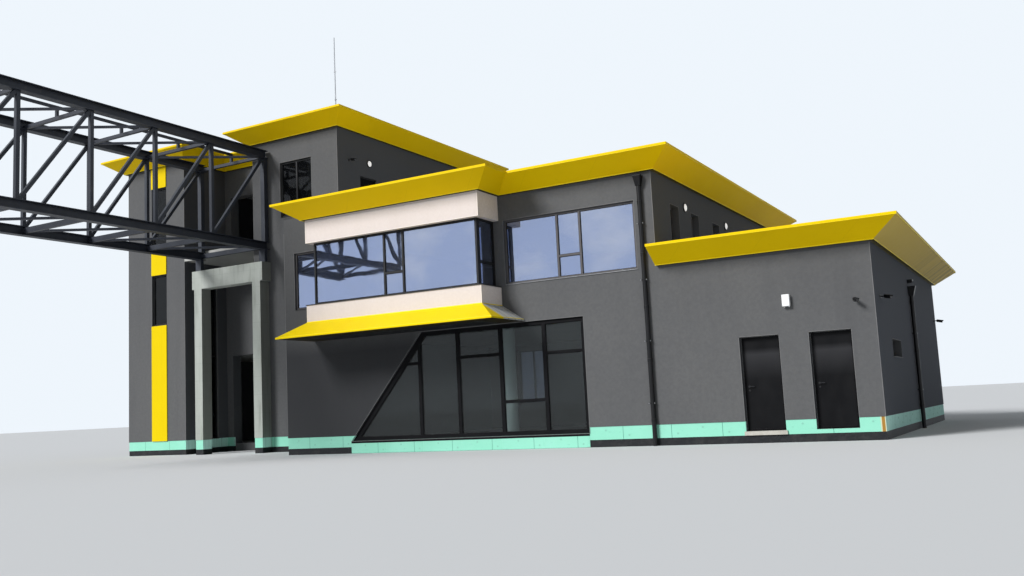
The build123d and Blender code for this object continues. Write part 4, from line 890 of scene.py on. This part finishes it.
def canopy_trim():
    """Folded lip round the canopy and a cover strip at its head, in the brighter yellow of painted highlight, and
    small dark clips under the bare right slope.
    """
    build = Build()
    out, lip, head = CANOPY_OUT, CANOPY_LIP, CANOPY_RISE
    lip_fold = [(out - 0.02, lip), (out, lip), (out, lip + 0.004), (out - 0.02, lip + 0.018)]
    head_strip = [(0.0, head - 0.012), (0.012, head - 0.012), (0.012, head), (0.0, head + 0.02)]
    build.sweep(BAY_ROUTE, lip_fold, CANOPY_FOOT)
    build.sweep(BAY_ROUTE, head_strip, CANOPY_FOOT - 0.002)
    # The folds take the brighter edge yellow: painted highlight
    build.done("bay_canopy_folds", "yellow_lip", "yellow_metal", bevel=0.001)
    clips = Build()
    right = BAY_RIGHT + CANOPY_OUT
    for i in range(CANOPY_CLIPS):
        y = BAY_FRONT + 0.16 + CLIP_PITCH * i
        clips.box((right - 0.075, y, CANOPY_FOOT - 0.018), (right - 0.035, y + 0.045, CANOPY_FOOT))
    clips.done("bay_canopy_clips", "gasket", "yellow_metal", bevel=0.002)


# Rainwater pipes: the middle of each in plan, the top of its hopper, and the way that it faces
PIPES = ((5.691, -5.95, 6.63, (0, -1, 0)), (11.021, -0.12, 3.79, (1, 0, 0)))
SLEEVE_HEIGHTS = (0.55, 2.0, 3.3, 4.6, 5.9)
CLIP_HEIGHTS = (1.0, 2.5, 4.0, 5.4)
HOPPER_DEPTH = 0.4
SLEEVE = [(0.055, 0), (0.061, 0.004), (0.061, 0.07), (0.064, 0.074), (0.064, 0.09), (0.055, 0.094)]
CLIP_BAND = [(0.0555, 0), (0.059, 0), (0.059, 0.038), (0.0555, 0.038)]
CLIP_MIDDLE = 0.019
BOLT_HEAD = [(0.013, 0), (0.013, 0.004), (0.007, 0.01), (0.002, 0.01)]
SPOUT_WIDTH, SPOUT_HEIGHT, SPOUT_REACH = 0.12, 0.09, 0.13
SPOUT_PLACE = (-0.12, 3.93)


def rainwater_detail():
    """Sleeves, clips with bright bolts and hopper rims on both pipes; spout over the side hopper with a bright
    cap in its mouth. The bolts are real fixings that also stand for glints, and the cap stands only for a glint:
    painted highlight.
    """
    build, bolts_and_glints, spout = Build(), Build(), Build()
    y, z = SPOUT_PLACE
    wide, tall = SPOUT_WIDTH / 2, SPOUT_HEIGHT / 2
    outline = rectangle((ANNEX_RIGHT, y - wide, z - tall), (ANNEX_RIGHT, y + wide, z + tall))
    spout.ring(outline, inset(outline, 0.006), (SPOUT_REACH, 0, 0))
    # A bright metal cap in the spout's mouth, for a glint there: painted highlight
    glint_cap = Vector((ANNEX_RIGHT + SPOUT_REACH, y + 0.035, z + 0.02))
    bolts_and_glints.rod(glint_cap - Vector((0.006, 0, 0)), glint_cap + Vector((0.014, 0, 0)), 0.032, 16, 0.024)
    for x, y, top, out in PIPES:
        out = Vector(out)
        across = Vector((abs(out.y), abs(out.x), 0))
        wall = Vector((x, y, 0)) - out * 0.07
        for z in [z for z in SLEEVE_HEIGHTS if z < top - HOPPER_DEPTH]:
            build.turned_shape((x, y, z), (0, 0, 1), SLEEVE)
        for z in [z for z in CLIP_HEIGHTS if z < top - HOPPER_DEPTH]:
            middle = Vector((x, y, z + CLIP_MIDDLE))
            for side in (-1, 1):
                lug, half = middle + across * side * 0.07, Vector((0.012, 0.012, 0.017))
                build.box(lug - half, lug + half)
                # Bolt heads in bright metal: real fixings, and also a painted highlight as glints on the clips
                bolts_and_glints.turned_shape(middle + out * 0.055 + across * side * 0.072, out, BOLT_HEAD, 12)
            build.turned_shape((x, y, z), (0, 0, 1), CLIP_BAND)
            foot = wall + Vector((0, 0, middle.z))
            build.rod(foot, foot + out * 0.05, 0.007, 8)
        low = wall - across * 0.104 + Vector((0, 0, top - 0.022))
        mouth = [low, low + across * 0.208, low + across * 0.208 + out * 0.2, low + out * 0.2]
        build.ring(mouth, inset(mouth, 0.014), (0, 0, 0.02))
    build.done("rainwater_fixings", "pipe_metal", "pipe_metal", smooth=True)
    spout.done("roof_outlet_spout", "pipe_metal", "pipe_metal", bevel=0.001)
    bolts_and_glints.done("pipe_clip_bolts", "rod_metal", "pipe_metal", smooth=True)


# Round wall lamps, as (radius, distance from the wall) points
LAMP_COVER = [(0.098, 0.012)]
LAMP_COVER += [(0.098 * math.cos(a), 0.024 + 0.036 * math.sin(a)) for a in (0, 0.3, 0.6, 0.9, 1.2, 1.45)]
LAMP_RIM = [(0.118, 0), (0.13, 0.004), (0.13, 0.026), (0.12, 0.034), (0.099, 0.028), (0.099, 0.01)]


def lamps():
    """Round wall lamps: a domed cover in a dark rim."""
    covers, rims = Build(), Build()
    for solid in islands("wall_lamps"):
        low, high = corners_of(solid)
        middle = Vector((low.x, (low.y + high.y) / 2, (low.z + high.z) / 2))
        covers.turned_shape(middle, (1, 0, 0), LAMP_COVER, 36)
        rims.turned_shape(middle, (1, 0, 0), LAMP_RIM, 36)
    cover = covers.done("lamp_covers", "lamp_cover", "white_plastic", smooth=True)
    rims.done("lamp_rims", "pipe_metal", "white_plastic", smooth=True)
    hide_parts("wall_lamps")


def wall_box_piece():
    """Small enclosure with a rounded lid, a seam with four screws, and two foot tabs."""
    low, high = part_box("wall_box")
    foot = low.z + 0.02
    case = Build()
    case.box((low.x, low.y + 0.028, foot), (high.x, high.y, high.z))
    case.box((low.x, low.y, foot), (high.x, low.y + 0.024, high.z))
    for x in (low.x + 0.02, high.x - 0.045):
        case.box((x, high.y - 0.03, low.z), (x + 0.025, high.y, low.z + 0.03))
    piece = case.done("wall_box_case", "white_plastic", "white_plastic", bevel=0.008)
    seam = Build()
    seam.box((low.x + 0.004, low.y + 0.022, foot + 0.004), (high.x - 0.004, low.y + 0.03, high.z - 0.004))
    for x in (low.x + 0.016, high.x - 0.016):
        for z in (foot + 0.016, high.z - 0.016):
            seam.rod((x, low.y - 0.0005, z), (x, low.y + 0.003, z), 0.004, 10)
    seam.done("wall_box_seam", "gasket", "white_plastic")
    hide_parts("wall_box")


# Bullet cameras: tilt in degrees, round sections, and the sun shield over the shell
BULLET_TILT = 12
BULLET_BASE = [(0.05, 0), (0.05, 0.01), (0.044, 0.015), (0.02, 0.015)]
BULLET_JOINT = [(0.01, 0), (0.019, 0.006), (0.021, 0.016), (0.017, 0.026), (0.006, 0.03)]
BULLET_SHELL = [(0.026, 0), (0.036, 0.008), (0.04, 0.02), (0.04, 0.168), (0.036, 0.176), (0.033, 0.176)]
BULLET_LENS = [(0.032, 0), (0.032, 0.0085), (0.018, 0.01), (0.002, 0.0105)]
SHIELD_RADIUS, SHIELD_LENGTH, SHIELD_START = 0.046, 0.195, 0.004
SHIELD_ANGLES = [math.radians(20 + 140 * i / 8) for i in range(9)]


def cameras():
    """Bullet cameras with sun shield, lens window, jointed arm and base; two are turned to the annex's corner."""
    shells, lenses = Build(), Build()
    tilt = math.radians(BULLET_TILT)
    for solid in islands("security_cameras"):
        low, high = corners_of(solid)
        middle = (low + high) / 2
        if high.x - low.x > high.y - low.y:
            out, to_corner, wall = Vector((1, 0, 0)), Vector((0, -0.6, 0)), Vector((low.x, middle.y, 0))
        else:
            out, to_corner, wall = Vector((0, -1, 0)), Vector((0.6, 0, 0)), Vector((middle.x, high.y, 0))
        at_corner = middle.x > ANNEX_RIGHT - 1 and middle.y < FRONT + 1.4
        aim = (out + to_corner).normalized() if at_corner else out
        across = Vector((-aim.y, aim.x, 0))
        wall.z = high.z - 0.05
        down = (aim * math.cos(tilt) - Vector((0, 0, 1)) * math.sin(tilt)).normalized()
        shells.turned_shape(wall, out, BULLET_BASE, 24)
        shells.rod(wall + out * 0.012, wall + out * 0.075, 0.013, 12)
        shells.turned_shape(wall + out * 0.07, out, BULLET_JOINT, 18)
        tail = wall + out * 0.09
        shells.turned_shape(tail, down, BULLET_SHELL, 24)
        up = down.cross(across)
        up = up if up.z > 0 else -up
        start = tail + down * SHIELD_START
        arc = [(across * math.cos(a) + up * math.sin(a)) * SHIELD_RADIUS for a in SHIELD_ANGLES]
        shells.prism([start + p for p in arc] + [start + p * 0.93 for p in reversed(arc)], down * SHIELD_LENGTH)
        lenses.turned_shape(tail + down * 0.17, down, BULLET_LENS, 24)
    piece = shells.done("camera_shells", "camera_shell", "pipe_metal", smooth=True)
    lenses.done("camera_lenses", "lens", "glass", smooth=True)
    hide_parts("security_cameras")


ROD_PLACE, ROD_FOOT = (-6.498, -2.61), 10.854
COLLAR_HEIGHTS = (10.9, 11.9, 12.9)
ROD_COLLAR = [(0.02, 0), (0.031, 0.004), (0.031, 0.05), (0.02, 0.054)]
ROD_SOCKET = [(0.055, 0), (0.055, 0.012), (0.034, 0.018), (0.03, 0.07), (0.02, 0.074)]


def rod_detail():
    """Collars with lugs on the lightning rod, and the socket at its foot."""
    build = Build()
    x, y = ROD_PLACE
    for z in COLLAR_HEIGHTS:
        build.turned_shape((x, y, z), (0, 0, 1), ROD_COLLAR, 16)
        build.box((x + 0.02, y - 0.008, z + 0.012), (x + 0.055, y + 0.008, z + 0.042))
    build.turned_shape((x, y, ROD_FOOT), (0, 0, 1), ROD_SOCKET, 18)
    build.done("lightning_rod_collars", "rod_metal", "rod_metal", smooth=True)


# Foam boards: the two heights of their anchors, and the runs that have anchors
ANCHOR_HEIGHTS = (0.41, 0.28)
ANCHOR = [(0.026, 0), (0.026, 0.002), (0.022, 0.0035), (0.006, 0.0035), (0.005, 0.001)]
FRONT_RUNS, SIDE_RUN = ((-5.9, 7.8), (9.0, 9.35), (10.5, 10.85)), (-5.6, 5.6)

# Boards and metal strip below the ground glazing: the planes between which they lie
FOOT_FACE, FOOT_BACK = FRONT + 0.002, FRONT + 0.0098


def plinth_detail():
    """Anchors in the foam boards; below the ground glazing, boards down to the ground under a dark strip."""
    glass_left, glass_right = GLAZING[0][0], GLAZING[1][0]
    anchors = Build()
    for start, end in (*FRONT_RUNS, SIDE_RUN):
        count = max(1, round((end - start) / (BOARD_LENGTH / 2)))
        for i in range(count):
            place, z = start + (end - start) * (i + 0.5) / count, ANCHOR_HEIGHTS[i % 2]
            if (start, end) == SIDE_RUN:
                middle, axis = (ANNEX_RIGHT - 0.0105, place, z), (1, 0, 0)
            elif glass_left < place < glass_right:
                middle, axis = (place, FRONT + 0.0025, z - 0.19), (0, -1, 0)
            else:
                middle, axis = (place, FRONT + 0.0105, z), (0, -1, 0)
            anchors.turned_shape(middle, axis, ANCHOR, 18)
    anchors.done("foam_board_anchors", "anchor", "foam_board", smooth=True)
    boards, strip = Build(), Build()
    left, right = glass_left - 0.02, glass_right - 0.004
    whole = int((right - left) / BOARD_LENGTH)
    ends = [*(left + BOARD_LENGTH * i for i in range(whole + 1)), right]
    for start, end in zip(ends, ends[1:]):
        boards.box((start + 0.001, FOOT_FACE, 0.004), (end - 0.001, FOOT_BACK, 0.284))
    boards.done("glazing_foot_boards", "foam_board", "foam_board", bevel=0.001)
    profile = (
        (FOOT_BACK, 0.286), (FRONT + 0.006, 0.286), (FOOT_FACE, 0.292), (FOOT_FACE, 0.346), (FOOT_BACK, 0.349)
    )
    strip.prism([(left, y, z) for y, z in profile], (right - left, 0, 0))
    strip.done("glazing_foot_strip", "black_frame", "window_frame", bevel=0.0005)


# Flat roofs within their parapets, as (left, right, front, back)
ROOFS = {
    "annex": [(6.0, 10.55, -5.48, 5.48)],
    "hall": [(-5.59, 5.59, -5.48, 5.48)],
    "tower": [(-15.29, -6.0, -1.3, 5.48), (-15.29, -13.15, -3.3, -1.31), (-8.94, -6.0, -3.3, -1.31)],
}
SEAM_WIDTH, SEAM_HEIGHT, EDGE_HEIGHT = 0.1, 0.003, 0.004


def roof_detail():
    """Welded seams and edge strips on the flat roofs; frame, lock plate and handle of the roof door."""
    build = Build()
    for name, rooms in ROOFS.items():
        top = EAVES[name] + ROOF_THICKNESS
        for left, right, front, back in rooms:
            seams = int(back - front)
            for i in range(1, seams + 1):
                y = front + i * (back - front) / (seams + 1)
                build.box((left, y - SEAM_WIDTH / 2, top), (right, y + SEAM_WIDTH / 2, top + SEAM_HEIGHT))
            near, far = front + SEAM_WIDTH, back - SEAM_WIDTH
            for a, b, c, d in (
                (left, front, right, near), (left, far, right, back),
                (left, near, left + SEAM_WIDTH, far), (right - SEAM_WIDTH, near, right, far),
            ):
                build.box((a, b, top), (c, d, top + EDGE_HEIGHT))
    build.done("roof_seams", "roofing", "roofing", bevel=0.001)
    door = Build()
    low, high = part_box("tower_roof_door")
    outline = rectangle((high.x, low.y, low.z), high)
    door.ring(outline, inset(outline, 0.05), (0.008, 0, 0))
    x, y, z = high.x, low.y + 0.11, low.z + 1.13
    door.box((x, y - 0.02, z - 0.1), (x + 0.012, y + 0.02, z + 0.06))
    door.rod((x + 0.012, y, z), (x + 0.045, y, z), 0.009)
    door.box((x + 0.037, y - 0.01, z - 0.01), (x + 0.05, y + 0.12, z + 0.01))
    door.done("roof_door_fittings", "door_steel", "door_steel", bevel=0.002)


add_camera()
add_light()
wall_looks()
sheet_looks()
window_looks()
fitting_looks()
paint_nodes()
add_stage()
glazing_beads()
window_trim()
parapet_trim()
corner_beads()
door_detail()
canopy_trim()
rainwater_detail()
lamps()
wall_box_piece()
cameras()
rod_detail()
plinth_detail()
roof_detail()

bpy.context.scene.view_settings.view_transform = "Standard"
